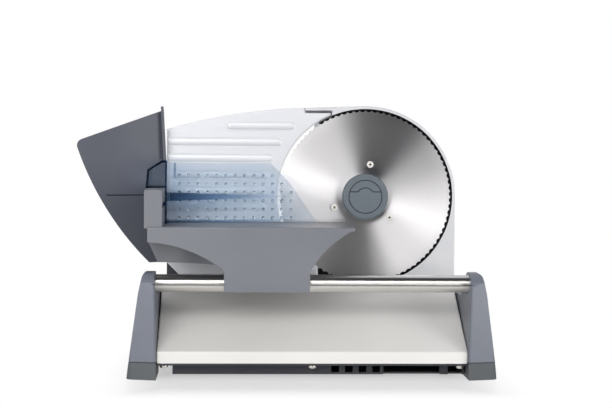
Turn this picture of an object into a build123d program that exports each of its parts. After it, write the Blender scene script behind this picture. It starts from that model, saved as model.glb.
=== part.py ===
from build123d import *
import math
import os

# Household electric food slicer, in millimetres. Working frame: X across, Y away from the user, Z up,
# with X = 0 midway between the legs, Y = 0 at the front of the legs and Z = 0 on the worktop.
# The finished parts are moved so that the origin is the middle of the whole footprint.

# Fits
running_gap = 0.06
slide_gap = 0.25
free_gap = 0.4
seat_gap = 0.05
screw_gap = 0.1

# Legs and boots
inner_width = 302.0
leg_foot_width = 29.0
leg_knee_width = 17.6
leg_head_width = 13.2
leg_lean = 2.0
leg_edge = 2.0
leg_shoulder = 20.0
leg_height = 103.0
leg_depth = 240.0
leg_wall = 3.0
post_depth = 36.0
post_fall = 36.0
leg_sweep = 7.0
leg_front_radius = 20.0
leg_corner_radius = 8.0
leg_crown_radius = 5.0
leg_screw_front = 36.0
leg_screw_rear = 26.0
boot_height = 16.7
boot_length = 52.0

# Base shell and bottom pan
sheet = 1.6
lip_y = 6.0
lip_bottom = 15.5
lip_top = 26.8
slope_end_y = 106.0
deck_height = 78.0
bend_radius = 2.5
base_flange = 16.0
base_seam = 0.9
pan_wall = 2.0
pan_bottom = 3.0
pan_inset = 15.0
pan_side = 1.5
pan_port_x = 133.5
pan_port_width = 13.5
pan_screw_inset = 7.0
vent_count = 4
vent_pitch = 13.4
vent_width = 7.5
vent_x = 19.0
tray_mouth_x = 70.0
tray_mouth_width = 55.0
opening_margin = 2.0

# Guide rail and rear guide
rail_radius = 8.5
rail_wall = 1.5
rail_y = 22.0
rail_drop = 11.0
rail_socket = 8.0
rail_plug_length = 22.0
rear_guide_y = 107.0
rear_guide_depth = 12.0
rear_guide_height = 6.0

# Blade and lock knob
blade_radius = 88.9
blade_scallops = 88
scallop_depth = 1.3
blade_sheet = 1.2
blade_dish = 3.0
blade_land = 62.0
blade_shoulder = 78.0
blade_edge = 0.35
blade_x = 58.9
blade_z = 173.3
blade_y = 125.0
blade_screw_circle = 33.8
blade_screw_angles = (81.0, 200.0, 320.0)
knob_radius = 23.8
knob_height = 10.0
knob_edge = 2.0
knob_well_radius = 17.5
knob_well_depth = 0.9
knob_line = 0.7
knob_line_depth = 1.8
knob_step = 4.7
knob_arch = 8.9
knob_shank = 9.0

# Gears, spindle and motor
gear_module = 1.5
gear_teeth = 56
pinion_teeth = 14
tooth_height = 0.85
tooth_root = 1.15
tooth_backlash = 0.35
pressure_angle = 20.0
gear_face = 10.0
gear_setback = 8.0
pinion_bearing = -60.0
spindle_radius = 5.0
spindle_shoulder = 8.0
bush_wall = 2.0
pinion_shaft = 3.5
drive_plate_thickness = 5.0
drive_plate_low = 28.0
drive_plate_high = 160.0
gearhead_radius = 23.0
gearhead_length = 22.0
motor_radius = 25.0
motor_length = 48.0
end_cap_length = 8.0
motor_screw_circle = 17.0

# Gear housing, slice deflector and motor cover
guard_radius = 94.0
guard_gap = 1.9
guard_front = 2.0
housing_wall = 2.5
housing_setback = 3.3
housing_depth = 45.0
gear_room = 2.5
flange_reach = 62.9
flange_thickness = 5.0
flange_slope = 2.3
flange_web = 9.0
notch_reach = 35.0
notch_low = 75.0
notch_ledge = 0.8
boss_radius = 5.0
boss_inset = 6.0
notch_boss_reach = 12.5
housing_screw_reach = 25.0
cover_depth = 68.0
cover_round = 10.0
cover_vents = 7
cover_vent_pitch = 11.0
cover_vent_width = 4.0
cover_vent_height = 46.0
deflector_sheet = 1.5
deflector_outer = 82.0
deflector_inner = 52.0
deflector_depth = 32.0

# Thickness plate and its drive
plate_left = -147.0
plate_bottom = 83.0
plate_sheet = 3.0
plate_lead = 0.2
plate_gap = 2.7
plate_bevel = 2.2
plate_chamfer = 21.0
plate_left_height = 242.0
plate_crown_x = -75.0
plate_crown = 258.3
plate_peak_x = -4.3
plate_peak = 265.0
plate_tongue = 259.7
plate_tongue_x = 22.4
plate_foot_x = 8.0
rib_rise = 1.2
rib_height = 9.2
rib_pitch = 16.9
rib_low = 161.5
rib_count = 6
rib_margin = 11.0
rib_top_start = -81.0
rib_chamfer = 0.7
plate_travel = 20.0
carrier_sheet = 5.0
carrier_top = 232.0
carrier_right = -48.0
carrier_rib = 9.0
slide_x = -85.0
slide_z = 46.0
rod_spread = 34.0
rod_radius = 5.0
guide_length = 36.0
guide_radius = 10.0
nut_radius = 8.0
nut_length = 22.0
bracket_sheet = 3.0
bracket_front = 11.0
bracket_length = 92.0
bracket_flange = 10.0
stem_width = 80.0
thickness_knob_radius = 23.0
thickness_knob_height = 19.0
knob_grip = 13.0
dial_radius = 29.0
dial_sheet = 2.0
grip_flutes = 14
flute_radius = 3.0

# Carriage
deck_rise = 55.0
carriage_sheet = 3.5
carriage_front = 9.0
carriage_rear = 120.5
wall_inner = -146.0
wall_thickness = 17.4
wall_skin = 2.5
wall_rail = 6.0
wall_rise = 35.7
wall_setback = 1.6
wall_ledge = 1.6
wall_block = 26.0
carriage_right = 40.2
skirt_sheet = 3.0
skirt_drop = 15.0
skirt_inset = 3.3
deck_edge = 1.5
arm_left = -86.2
arm_right = -2.9
arm_drop = 8.0
arm_depth = 27.0
arm_rib = 3.0
arm_toe_depth = 1.6
arm_toe_height = 9.5
sleeve_wall = 2.0
sleeve_length = 24.0
sleeve_wrap = 100.0
right_scallop_start = 12.0
right_scallop_bow = (15.5, 33.0)
left_scallop_start = 13.0
left_scallop_bow = (29.8, 30.3)
skirt_toe = 2.6
apron_rise = 17.0
apron_sheet = 2.6
apron_bow = (21.0, 35.0)
apron_run = 52.6
apron_inset = 0.1
apron_slant = 10.3
shoe_width = 60.0
shoe_depth = 9.0
shoe_height = 4.0
strut_sheet = 4.0

# Hand guard
guard_curve = 300.0
guard_slant = 26.0
guard_rear = 117.0
guard_sheet = 2.6
guard_top = 114.5
guard_tip_reach = 89.7
guard_tip_top = 84.0
guard_tip_low = 75.7
guard_waist_reach = 65.0
guard_waist = 20.8
guard_foot_reach = 18.2
guard_foot = -42.1
guard_edge = 1.3
guard_lean = 2.7
guard_lip = 3.6
guard_lip_depth = 7.0
crease_rise = 26.9
crease_height = 0.8
crease_depth = 0.9
crease_reach = 60.8
guard_screw_angle = -65.5
guard_seat_depth = 0.5
guard_screw_rises = (7.0, 27.0)

# Food pusher
pusher_rear = 112.0
pusher_sheet = 3.0
pusher_right = 8.0
pusher_height = 60.5
pusher_bend_x = -22.0
pusher_bend = 43.0
pusher_top_right = -40.0
pusher_flange = 54.0
pusher_rib = 24.0
pusher_rib_rise = 22.0
pusher_rib_tall = 8.9
pusher_rib_sheet = 2.2
pusher_rib_end = -14.0
pusher_flange_sheet = 2.0
pusher_skin = 2.2
pusher_fin_x = 7.4
pusher_fin_sheet = 1.6
pusher_fin_depth = 14.0
pusher_fin_height = 15.0
saddle_length = 52.0
saddle_rise = 27.5
saddle_overhang = 1.6
tongue_depth = 3.2
tongue_height = 4.0
tongue_length = 30.0
tongue_rise = 18.0
pimple_radius = 1.3
pimple_height = 2.0
pimple_columns = 13
pimple_rows = 6
pimple_pitch_x = 9.6
pimple_pitch_z = 8.7
pimple_margin = 4.0
pimple_start = 12.0

# Switch, inlet and board
switch_width = 15.0
switch_height = 21.0
switch_y = 212.0
switch_z = 150.0
switch_depth = 14.0
bezel_rim = 3.0
bezel_sheet = 2.0
rocker_room = 1.5
rocker_back = 3.0
rocker_low = 2.4
rocker_waist = 3.2
rocker_high = 6.0
rocker_taper = 0.7
inlet_x = 95.0
inlet_z = 48.0
inlet_width = 27.0
inlet_height = 20.0
inlet_depth = 24.0
inlet_rim = 5.0
inlet_pin = 2.0
inlet_pin_reach = 5.4
board_width = 78.0
board_depth = 62.0
board_x = 60.0
board_y = 170.0
board_sheet = 1.6
board_rise = 16.0
post_radius = 3.5
capacitor_radius = 7.0
capacitor_height = 22.0
relay_size = (19.0, 16.0, 15.0)
heat_sink_size = (4.0, 40.0, 18.0)

# Screw sizes: thread radius, length, head radius and head height
head_round = 0.55
cross_reach = 1.1
pan_screw = {"thread": 2.0, "length": 5.5, "head": 4.2, "rise": 3.8}
boot_screw = {"thread": 2.2, "length": 20.0, "head": 4.2, "rise": 2.6}
rail_screw = {"thread": 2.4, "length": 16.0, "head": 4.6, "rise": 2.4}
leg_screw = {"thread": 2.0, "length": 12.0, "head": 3.8, "rise": 2.4}
guide_screw = {"thread": 1.6, "length": 5.0, "head": 3.0, "rise": 1.8}
housing_screw = {"thread": 2.0, "length": 10.0, "head": 3.8, "rise": 2.4}
cover_screw = {"thread": 1.7, "length": 18.0, "head": 3.2, "rise": 2.2}
plate_screw = {"thread": 1.6, "length": 7.0, "head": 3.0, "rise": 2.0}
drive_screw = {"thread": 1.8, "length": 14.0, "head": 3.4, "rise": 2.2}
blade_screw = {"thread": 1.6, "length": 7.5, "head": 3.5, "rise": 1.6}
bracket_screw = {"thread": 1.8, "length": 4.4, "head": 3.4, "rise": 2.2}
guard_screw = {"thread": 1.5, "length": 8.0, "head": 2.8, "rise": 1.8}

# Places worked out from the sizes above
half = inner_width / 2
leg_knee_height = leg_height - leg_shoulder
rail_z = leg_height - rail_drop
base_rear_y = leg_depth
base_x = half - sheet
rail_half = half + rail_socket - seat_gap
rail_screw_x = half + rail_socket + leg_wall
guide_top = deck_height + rear_guide_height
hub_y = blade_y + blade_dish
gear_front = hub_y + blade_sheet
teeth_front = gear_front + gear_setback
teeth_rear = teeth_front + gear_face
gear_radius = gear_module * gear_teeth / 2
pinion_radius = gear_module * pinion_teeth / 2
tip_rise = gear_module * tooth_height
gear_tip = gear_radius + tip_rise
gear_spacing = gear_radius + pinion_radius
pinion_x = blade_x + gear_spacing * math.cos(math.radians(pinion_bearing))
pinion_z = blade_z + gear_spacing * math.sin(math.radians(pinion_bearing))
plate_y = blade_y - plate_lead
plate_back = plate_y + plate_sheet
guard_y = blade_y - guard_front
housing_y = gear_front + housing_setback
housing_back = housing_y + housing_wall
housing_rear = housing_y + housing_depth
housing_left = blade_x - gear_tip - gear_room - housing_wall
housing_right = blade_x + guard_radius
housing_top = blade_z + guard_radius
flange_left = blade_x - flange_reach
flange_bottom = housing_top - flange_thickness
drive_front = teeth_rear + gear_room
drive_rear = drive_front + drive_plate_thickness
cover_rear = housing_rear + cover_depth
notch_right = blade_x - notch_reach
notch_bottom = blade_z + notch_low
notch_rear = plate_back + carrier_sheet + plate_travel + gear_room
carrier_rear = plate_back + carrier_sheet
bracket_y = plate_back - bracket_front
bracket_rear = bracket_y + bracket_length
deck_z = rail_z + deck_rise
deck_under = deck_z - carriage_sheet
wall_outer = wall_inner - wall_thickness
wall_top = deck_z + wall_rise
wall_front = carriage_front + wall_setback
skirt_left = wall_outer + skirt_inset
sleeve_radius = rail_radius + running_gap + sleeve_wall
arm_bore = sleeve_radius + running_gap
arm_rear = carriage_front + arm_depth
arm_bottom = rail_z - arm_drop
apron_bottom = rail_z + apron_rise
arm_roof = rail_z + arm_bore + arm_rib
guard_centre_x = wall_inner - carriage_sheet - guard_curve * math.sin(math.radians(guard_slant))
guard_centre_y = guard_rear + guard_curve * math.cos(math.radians(guard_slant))
guard_edge_x = wall_inner - guard_edge
saddle_left = wall_outer - saddle_overhang
saddle_bottom = wall_top + slide_gap
saddle_top = saddle_bottom + saddle_rise
tongue_z = deck_z + tongue_rise
pusher_left = wall_inner + slide_gap
pusher_base = deck_z + slide_gap
shoe_bottom = guide_top + slide_gap
shoe_y = rear_guide_y + (rear_guide_depth - shoe_depth) / 2
arm_middle = (arm_left + arm_right) / 2
rocker_x = housing_right - bezel_sheet
blade_axis = (blade_x, blade_z)
pinion_axis = (pinion_x, pinion_z)
slide_axis = (slide_x, slide_z)
rod_axes = [(slide_x + side * rod_spread, slide_z) for side in (-1, 1)]


def shape(*points):
    return make_face(Polyline(*points, close=True))


def soften(face, *corners):
    for x, y, radius in corners:
        face = fillet(face.vertices().sort_by_distance(Vector(x, y))[0:1], radius)
    return face


def across(face, low, high):
    # A side outline in Y and Z, carried along X.
    return extrude(Plane.YZ.offset(low) * face, amount=high - low)


def along(face, low, high):
    # A front outline in X and Z, carried along Y.
    return extrude(Plane.XZ.offset(-high) * face, amount=high - low)


def upward(face, low, high):
    # A plan outline in X and Y, carried along Z.
    return extrude(Plane.XY.offset(low) * face, amount=high - low)


def block(x, y, z):
    size = [span[1] - span[0] for span in (x, y, z)]
    middle = [(span[1] + span[0]) / 2 for span in (x, y, z)]
    return Pos(*middle) * Box(*size)


def rod(start, end, radius):
    span = Vector(*end) - Vector(*start)
    return extrude(Plane(origin=start, z_dir=span) * Circle(radius), amount=span.length)


def peg(axis, span, radius):
    # A round bar along Y, about an axis given by its X and Z.
    x, z = axis
    return rod((x, span[0], z), (x, span[1], z), radius)


def inset(face, amount):
    return offset(face, amount=-amount, kind=Kind.INTERSECTION)


def turned(points, x, z):
    # A profile of (radius, y) points turned about an axis along Y through x, z.
    plane = Plane(origin=(x, 0, z), x_dir=(1, 0, 0), z_dir=(0, 0, 1))
    face = plane * shape(*points)
    return revolve(face, axis=Axis((x, 0, z), (0, 1, 0)))


def screw(seat, heading, kind):
    # A cross-head screw whose head rests on the seat, its thread running along the heading.
    at = Plane(origin=seat, z_dir=heading)
    thread = extrude(at * Circle(kind["thread"]), amount=kind["length"])
    head = extrude(at * Circle(kind["head"]), amount=-kind["rise"])
    crown = at.from_local_coords(Vector(0, 0, -kind["rise"]))
    rim = head.edges().filter_by(GeomType.CIRCLE).sort_by_distance(crown)[0]
    head = fillet(rim, kind["rise"] * head_round)
    arm = kind["head"] * cross_reach
    bar = Box(arm, arm / 4, kind["rise"] / 2)
    cross = bar + Rot(0, 0, 90) * bar
    return thread + head - at * Pos(0, 0, -kind["rise"]) * cross


def screw_hole(seat, heading, kind):
    # The hole that such a screw needs, with room for its head.
    at = Plane(origin=seat, z_dir=heading)
    thread = extrude(at * Circle(kind["thread"] + screw_gap), amount=kind["length"] + screw_gap)
    head = extrude(at * Circle(kind["head"] + screw_gap), amount=-kind["rise"] - screw_gap)
    return thread + head


def screws(seats, kind):
    return Part() + [screw(seat, heading, kind) for seat, heading in seats]


def screw_holes(seats, kind):
    return Part() + [screw_hole(seat, heading, kind) for seat, heading in seats]


def bored(part, *cuts):
    for cut in cuts:
        part = part - cut
    return part


def housing_roof(x):
    # The height of the housing's top, which falls a little from the blade's middle to the flange's end.
    return housing_top - flange_slope * (blade_x - x) / flange_reach


# Where every fastener sits, and the way it points

pan_screw_x = half - pan_screw_inset
pan_seats = [
    ((x, y, lip_bottom - pan_wall), (0, 0, 1))
    for x in (-pan_screw_x, 0, pan_screw_x)
    for y in (lip_y + pan_screw_inset, base_rear_y - pan_screw_inset)
]
boot_seats = [
    ((side * (half + leg_foot_width / 2), y, boot_screw["rise"] + opening_margin), (0, 0, 1))
    for side in (-1, 1)
    for y in (boot_length / 2, leg_depth - boot_length / 2)
]
rail_seats = [((side * rail_screw_x, rail_y, rail_z), (-side, 0, 0)) for side in (-1, 1)]
leg_seats = [
    ((side * base_x, y, lip_top), (side, 0, 0))
    for side in (-1, 1)
    for y in (leg_screw_front, leg_depth - leg_screw_rear)
]
guide_seats = [
    ((x, rear_guide_y + rear_guide_depth / 2, deck_height - sheet), (0, 0, 1))
    for x in (-pan_screw_x, 0, pan_screw_x)
]
housing_seats = [
    ((x, y, deck_height - sheet), (0, 0, 1))
    for x in (housing_left + housing_screw_reach, housing_right - housing_screw_reach)
    for y in (housing_back + boss_radius * 2, housing_rear - boss_radius * 2)
]
corner_reach = (guard_radius - boss_inset) * math.sqrt(0.5)
notch_boss_x = notch_right + notch_boss_reach
cover_points = (
    (housing_left + boss_inset, deck_height + boss_inset),
    (housing_right - boss_inset, deck_height + boss_inset),
    (blade_x + corner_reach, blade_z + corner_reach),
    (notch_boss_x, housing_roof(notch_boss_x) - boss_inset),
)
cover_seats = [((x, housing_rear + boss_radius * 2, z), (0, -1, 0)) for x, z in cover_points]
drive_points = (
    (housing_left + boss_inset, deck_height + drive_plate_low + boss_radius * 2),
    (housing_left + boss_inset, deck_height + drive_plate_high - boss_radius * 2),
    (housing_right - housing_wall - boss_radius * 2, deck_height + drive_plate_low + boss_radius * 2),
    (housing_right - housing_wall - boss_radius * 4, blade_z + guard_radius / 3),
)
drive_seats = [((x, drive_rear, z), (0, -1, 0)) for x, z in drive_points]
motor_screw_angles = [math.radians(pinion_bearing + side * 90) for side in (-1, 1)]
motor_seats = [
    (
        (
            pinion_x + motor_screw_circle * math.cos(angle),
            drive_front,
            pinion_z + motor_screw_circle * math.sin(angle),
        ),
        (0, 1, 0),
    )
    for angle in motor_screw_angles
]
blade_seats = [
    (
        (
            blade_x + blade_screw_circle * math.cos(math.radians(angle)),
            hub_y,
            blade_z + blade_screw_circle * math.sin(math.radians(angle)),
        ),
        (0, 1, 0),
    )
    for angle in blade_screw_angles
]
plate_seats = [
    ((x, carrier_rear, z), (0, -1, 0))
    for x in (slide_x - rod_spread, slide_x + rod_spread / 2)
    for z in (rib_low - rib_pitch / 2, rib_low + rib_pitch * (rib_count + 1) / 2)
]
bracket_seats = [
    ((slide_x + side * rod_spread, y, deck_height - sheet - bracket_sheet), (0, 0, 1))
    for side in (-1, 1)
    for y in (bracket_y - bracket_flange / 2, bracket_rear + bracket_flange / 2)
]
guard_turn = math.radians(guard_screw_angle)
guard_heading = (math.cos(guard_turn), math.sin(guard_turn), 0)
guard_seat = guard_curve - guard_sheet + guard_seat_depth
guard_seats = [
    (
        (
            guard_centre_x + guard_seat * guard_heading[0],
            guard_centre_y + guard_seat * guard_heading[1],
            deck_z + rise,
        ),
        guard_heading,
    )
    for rise in guard_screw_rises
]


# Stand


def leg_form():
    outer = half + leg_foot_width
    front = shape(
        (half, 0),
        (outer, 0),
        (half + leg_knee_width, leg_knee_height),
        (half + leg_head_width, leg_height),
        (half + leg_lean, leg_height),
        (half, lip_top),
    )
    front = soften(front, (half + leg_head_width, leg_height, leg_crown_radius))
    rear_height = deck_height - opening_margin
    side = shape(
        (0, 0),
        (0, leg_height),
        (post_depth, leg_height),
        (post_depth + post_fall, rear_height),
        (leg_depth, rear_height),
        (leg_depth, 0),
    )
    side = soften(
        side,
        (0, leg_height, leg_front_radius),
        (post_depth, leg_height, leg_front_radius),
        (post_depth + post_fall, rear_height, leg_front_radius),
        (leg_depth, rear_height, leg_corner_radius),
    )
    plan = shape((half, 0), (outer, leg_sweep), (outer, leg_depth), (half, leg_depth))
    plan = soften(plan, (outer, leg_sweep, leg_corner_radius), (outer, leg_depth, leg_corner_radius))
    form = along(front, 0, leg_depth) & across(side, half, outer)
    return form & upward(plan, 0, leg_height)


def right_leg(form):
    body = form & block((0, half * 2), (0, leg_depth), (boot_height, leg_height))
    edge_strip = shape(
        (half - leg_edge, boot_height),
        (half + leg_edge, boot_height),
        (half + leg_edge, lip_top),
        (half + leg_edge + leg_lean, leg_height),
        (half - leg_edge, leg_height),
    )
    edge_cut = extrude(Plane.XZ * edge_strip, amount=leg_edge * math.sqrt(2), dir=(-1, 1, 0))
    hollow = along(
        shape(
            (half + leg_wall, 0),
            (half + leg_foot_width - leg_wall, 0),
            (half + leg_knee_width - leg_wall, leg_knee_height - leg_wall * 3),
            (half + leg_wall, leg_knee_height - leg_wall * 3),
        ),
        boot_length + leg_wall,
        leg_depth - boot_length - leg_wall,
    )
    hollow = hollow & block((0, half * 2), (0, leg_depth), (0, deck_height - opening_margin - leg_wall))
    socket = rod((half, rail_y, rail_z), (half + rail_socket, rail_y, rail_z), rail_radius + seat_gap)
    head_well = rod(
        (rail_screw_x, rail_y, rail_z),
        (half * 2, rail_y, rail_z),
        rail_screw["head"] + screw_gap,
    )
    return bored(
        body,
        edge_cut,
        hollow,
        socket,
        head_well,
        screw_holes(rail_seats[1:], rail_screw),
        screw_holes(leg_seats[2:], leg_screw),
        screw_holes(boot_seats[2:], boot_screw),
    )


def right_boot(form, low, high, seat):
    body = form & block((0, half * 2), (low, high), (0, boot_height))
    x, y, z = seat[0]
    head_well = rod((x, y, 0), (x, y, z), boot_screw["head"] + screw_gap)
    return bored(body, head_well, screw_hole(*seat, boot_screw))


def guide_rail():
    outer = rod((-rail_half, rail_y, rail_z), (rail_half, rail_y, rail_z), rail_radius)
    return outer - rod((-rail_half, rail_y, rail_z), (rail_half, rail_y, rail_z), rail_radius - rail_wall)


def rail_plugs():
    radius = rail_radius - rail_wall - seat_gap
    inner = rail_half - rail_plug_length
    plugs = Part() + [
        rod((side * inner, rail_y, rail_z), (side * rail_half, rail_y, rail_z), radius) for side in (-1, 1)
    ]
    return plugs - screw_holes(rail_seats, rail_screw)


# Base


def base_shell():
    profile = shape(
        (lip_y, lip_bottom),
        (lip_y, lip_top),
        (slope_end_y, deck_height),
        (base_rear_y, deck_height),
        (base_rear_y, lip_bottom),
    )
    profile = soften(
        profile,
        (lip_y, lip_top, bend_radius),
        (slope_end_y, deck_height, bend_radius),
        (base_rear_y, deck_height, bend_radius),
    )
    shell = across(profile, -half, half) - across(offset(profile, amount=-sheet), -base_x, base_x)
    rim = profile - offset(profile, amount=-base_seam)
    seams = across(rim, -half, base_seam - half) + across(rim, half - base_seam, half)
    mouth = block(
        (base_flange - half, half - base_flange),
        (lip_y + base_flange, base_rear_y - base_flange),
        (0, lip_bottom + sheet * 2),
    )
    stem_slot = block(
        (slide_x - stem_width / 2 - opening_margin, slide_x + stem_width / 2 + opening_margin),
        (plate_back - opening_margin, carrier_rear + carrier_rib + plate_travel + opening_margin),
        (deck_height - sheet * 2, deck_height + sheet),
    )
    wire_hole = rod(
        (blade_x, housing_rear + cover_depth / 2, deck_height - sheet * 2),
        (blade_x, housing_rear + cover_depth / 2, deck_height + sheet),
        boss_radius,
    )
    screw_path = peg(slide_axis, (base_rear_y - sheet * 2, base_rear_y + sheet), rod_radius + free_gap)
    inlet_hole = block(
        (inlet_x - inlet_width / 2 - seat_gap, inlet_x + inlet_width / 2 + seat_gap),
        (base_rear_y - sheet * 2, base_rear_y + sheet),
        (inlet_z - inlet_height / 2 - seat_gap, inlet_z + inlet_height / 2 + seat_gap),
    )
    return bored(
        shell,
        seams,
        mouth,
        stem_slot,
        wire_hole,
        screw_path,
        inlet_hole,
        screw_holes(pan_seats, pan_screw),
        screw_holes(leg_seats, leg_screw),
        screw_holes(guide_seats, guide_screw),
        screw_holes(housing_seats, housing_screw),
        screw_holes(bracket_seats, bracket_screw),
    )


def bottom_pan():
    edge = half - free_gap
    tub_x = half - pan_inset
    front = lip_y + pan_inset
    rear = base_rear_y - pan_inset
    flange = block(
        (-edge, edge), (lip_y + free_gap, base_rear_y - free_gap), (lip_bottom - pan_wall, lip_bottom)
    )
    tub_end = half - pan_side
    tub = block((-tub_x, tub_end), (front, rear), (pan_bottom, lip_bottom))
    inside = block(
        (pan_wall - tub_x, tub_end - pan_wall),
        (front + pan_wall, rear - pan_wall),
        (pan_bottom + pan_wall, lip_bottom + pan_wall),
    )
    posts = Part() + [
        rod((x, y, pan_bottom + pan_wall / 2), (x, y, pan_bottom + board_rise), post_radius)
        for x, y in board_corners()
    ]
    vents = Part() + [
        block(
            (vent_x + i * vent_pitch, vent_x + i * vent_pitch + vent_width),
            (front - pan_wall, front + pan_wall * 2),
            (pan_bottom + pan_wall, lip_bottom - pan_wall),
        )
        for i in range(vent_count)
    ]
    mouths = Part() + [
        block((low, low + width), (front - pan_wall, front + pan_wall * 2), (0, lip_bottom - pan_wall))
        for low, width in ((tray_mouth_x, tray_mouth_width), (pan_port_x, pan_port_width))
    ]
    tray = flange + tub - inside - vents - mouths
    return tray + posts - screw_holes(pan_seats, pan_screw)


def board_corners():
    return [
        (board_x + side * (board_width / 2 - post_radius), board_y + end * (board_depth / 2 - post_radius))
        for side in (-1, 1)
        for end in (-1, 1)
    ]


def control_board():
    standing = (Align.CENTER, Align.CENTER, Align.MIN)
    low = pan_bottom + board_rise
    high = low + board_sheet
    board = block(
        (board_x - board_width / 2, board_x + board_width / 2),
        (board_y - board_depth / 2, board_y + board_depth / 2),
        (low, high),
    )
    left = board_x - board_width / 4
    capacitor = rod((left, board_y, high), (left, board_y, high + capacitor_height), capacitor_radius)
    relay = Pos(board_x, board_y, high) * Box(*relay_size, align=standing)
    heat_sink = Pos(board_x + board_width / 3, board_y, high) * Box(*heat_sink_size, align=standing)
    return board + capacitor + relay + heat_sink


def rear_guide():
    edge = half - free_gap
    bar = block(
        (-edge, edge), (rear_guide_y, rear_guide_y + rear_guide_depth), (deck_height, guide_top)
    )
    bar = fillet(bar.edges().filter_by(Axis.X).group_by(Axis.Z)[-1], opening_margin / 2)
    return bar - screw_holes(guide_seats, guide_screw)


# Blade and drive


def ring_point(radius, angle):
    return (blade_x + radius * math.cos(angle), blade_z + radius * math.sin(angle))


def blade():
    disc = turned(
        (
            (knob_shank, hub_y),
            (blade_land, hub_y),
            (blade_shoulder, blade_y + blade_edge),
            (blade_radius, blade_y),
            (blade_radius, blade_y + blade_edge),
            (blade_shoulder, blade_y + blade_edge + blade_sheet),
            (blade_land, hub_y + blade_sheet),
            (knob_shank, hub_y + blade_sheet),
        ),
        blade_x,
        blade_z,
    )
    step = 2 * math.pi / blade_scallops
    arcs = [
        ThreePointArc(
            ring_point(blade_radius, i * step),
            ring_point(blade_radius - scallop_depth, (i + 0.5) * step),
            ring_point(blade_radius, (i + 1) * step),
        )
        for i in range(blade_scallops)
    ]
    waves = along(make_face(arcs), blade_y - blade_dish, hub_y + blade_dish)
    return (disc & waves) - screw_holes(blade_seats, blade_screw)


def lock_knob():
    front = hub_y - knob_height
    head = peg(blade_axis, (front, hub_y - seat_gap), knob_radius)
    head = fillet(head.edges().group_by(Axis.Y)[0], knob_edge)
    lower = Pos(0, knob_step - knob_radius) * Rectangle(knob_radius * 2, knob_radius * 2)
    moon = Pos(blade_x, blade_z) * (Circle(knob_well_radius) - lower - Circle(knob_arch))
    ring = Pos(blade_x, blade_z) * (Circle(knob_well_radius) - Circle(knob_well_radius - knob_line))
    well = along(moon, front - knob_edge, front + knob_well_depth)
    lines = along(moon - inset(moon, knob_line), front - knob_edge, front + knob_line_depth)
    groove = along(ring, front - knob_edge, front + knob_line_depth)
    shank = peg(blade_axis, (hub_y - knob_edge, gear_front + knob_shank / 2), knob_shank - running_gap)
    well_front = hub_y - knob_height / 2
    spindle_well = peg(blade_axis, (well_front, gear_front + knob_shank), spindle_radius + free_gap)
    return bored(head + shank, well, lines, groove, spindle_well)


def gear_outline(teeth, start):
    # Involute teeth: each flank is followed from the base circle to the tip.
    pitch = gear_module * teeth / 2
    base = pitch * math.cos(math.radians(pressure_angle))
    root = pitch - gear_module * tooth_root
    tip = pitch + tip_rise
    half_tooth = (math.pi * gear_module / 2 - tooth_backlash / 2) / (2 * pitch)
    roll = math.tan(math.radians(pressure_angle)) - math.radians(pressure_angle)
    low = max(base, root)
    flank = []
    for i in range(4):
        radius = low + (tip - low) * i / 3
        pressure = math.acos(base / radius)
        flank.append((radius, half_tooth + roll - (math.tan(pressure) - pressure)))
    if root < low:
        flank.insert(0, (root, flank[0][1]))
    points = []
    for tooth in range(teeth):
        centre = start + 2 * math.pi * tooth / teeth
        points += [(r * math.cos(centre - a), r * math.sin(centre - a)) for r, a in flank]
        points += [(r * math.cos(centre + a), r * math.sin(centre + a)) for r, a in reversed(flank)]
    return shape(*points)


def blade_gear():
    mesh_angle = math.radians(pinion_bearing)
    teeth = along(Pos(blade_x, blade_z) * gear_outline(gear_teeth, mesh_angle), teeth_front, teeth_rear)
    drum = peg(blade_axis, (gear_front, teeth_rear), gear_radius - gear_module * 2)
    knob_well = peg(blade_axis, (gear_front, gear_front + knob_shank / 2 + free_gap), knob_shank)
    bore = peg(blade_axis, (gear_front, teeth_rear), spindle_radius + running_gap + bush_wall + seat_gap)
    return bored(teeth + drum, knob_well, bore, screw_holes(blade_seats, blade_screw))


def blade_bush():
    low = gear_front + knob_shank / 2 + free_gap
    outer = peg(blade_axis, (low, teeth_rear), spindle_radius + running_gap + bush_wall)
    return outer - peg(blade_axis, (low, teeth_rear), spindle_radius + running_gap)


def spindle():
    front = hub_y - knob_height / 2 + free_gap
    shaft = peg(blade_axis, (front, drive_rear), spindle_radius)
    shoulder = peg(blade_axis, (teeth_rear + free_gap, drive_front), spindle_shoulder)
    return shaft + shoulder


def pinion():
    phase = math.radians(pinion_bearing) + math.pi + math.pi / pinion_teeth
    teeth = along(Pos(pinion_x, pinion_z) * gear_outline(pinion_teeth, phase), teeth_front, teeth_rear)
    shaft = peg(pinion_axis, (teeth_front, drive_rear + gearhead_length / 2), pinion_shaft)
    return teeth + shaft


def gearhead():
    body = peg(pinion_axis, (drive_rear, drive_rear + gearhead_length), gearhead_radius)
    nose = peg(pinion_axis, (drive_front, drive_rear), pinion_shaft + drive_plate_thickness)
    bore_end = drive_rear + gearhead_length / 2 + free_gap
    bore = peg(pinion_axis, (drive_front, bore_end), pinion_shaft + running_gap)
    return body + nose - bore - screw_holes(motor_seats, drive_screw)


def motor():
    front = drive_rear + gearhead_length
    can = peg(pinion_axis, (front, front + motor_length), motor_radius)
    return chamfer(can.edges().filter_by(GeomType.CIRCLE), opening_margin)


def motor_end_cap():
    front = drive_rear + gearhead_length + motor_length
    cap = peg(pinion_axis, (front, front + end_cap_length / 2), motor_radius - opening_margin)
    return cap + peg(pinion_axis, (front, front + end_cap_length), motor_radius / 3)


# Gear housing and covers


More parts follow.
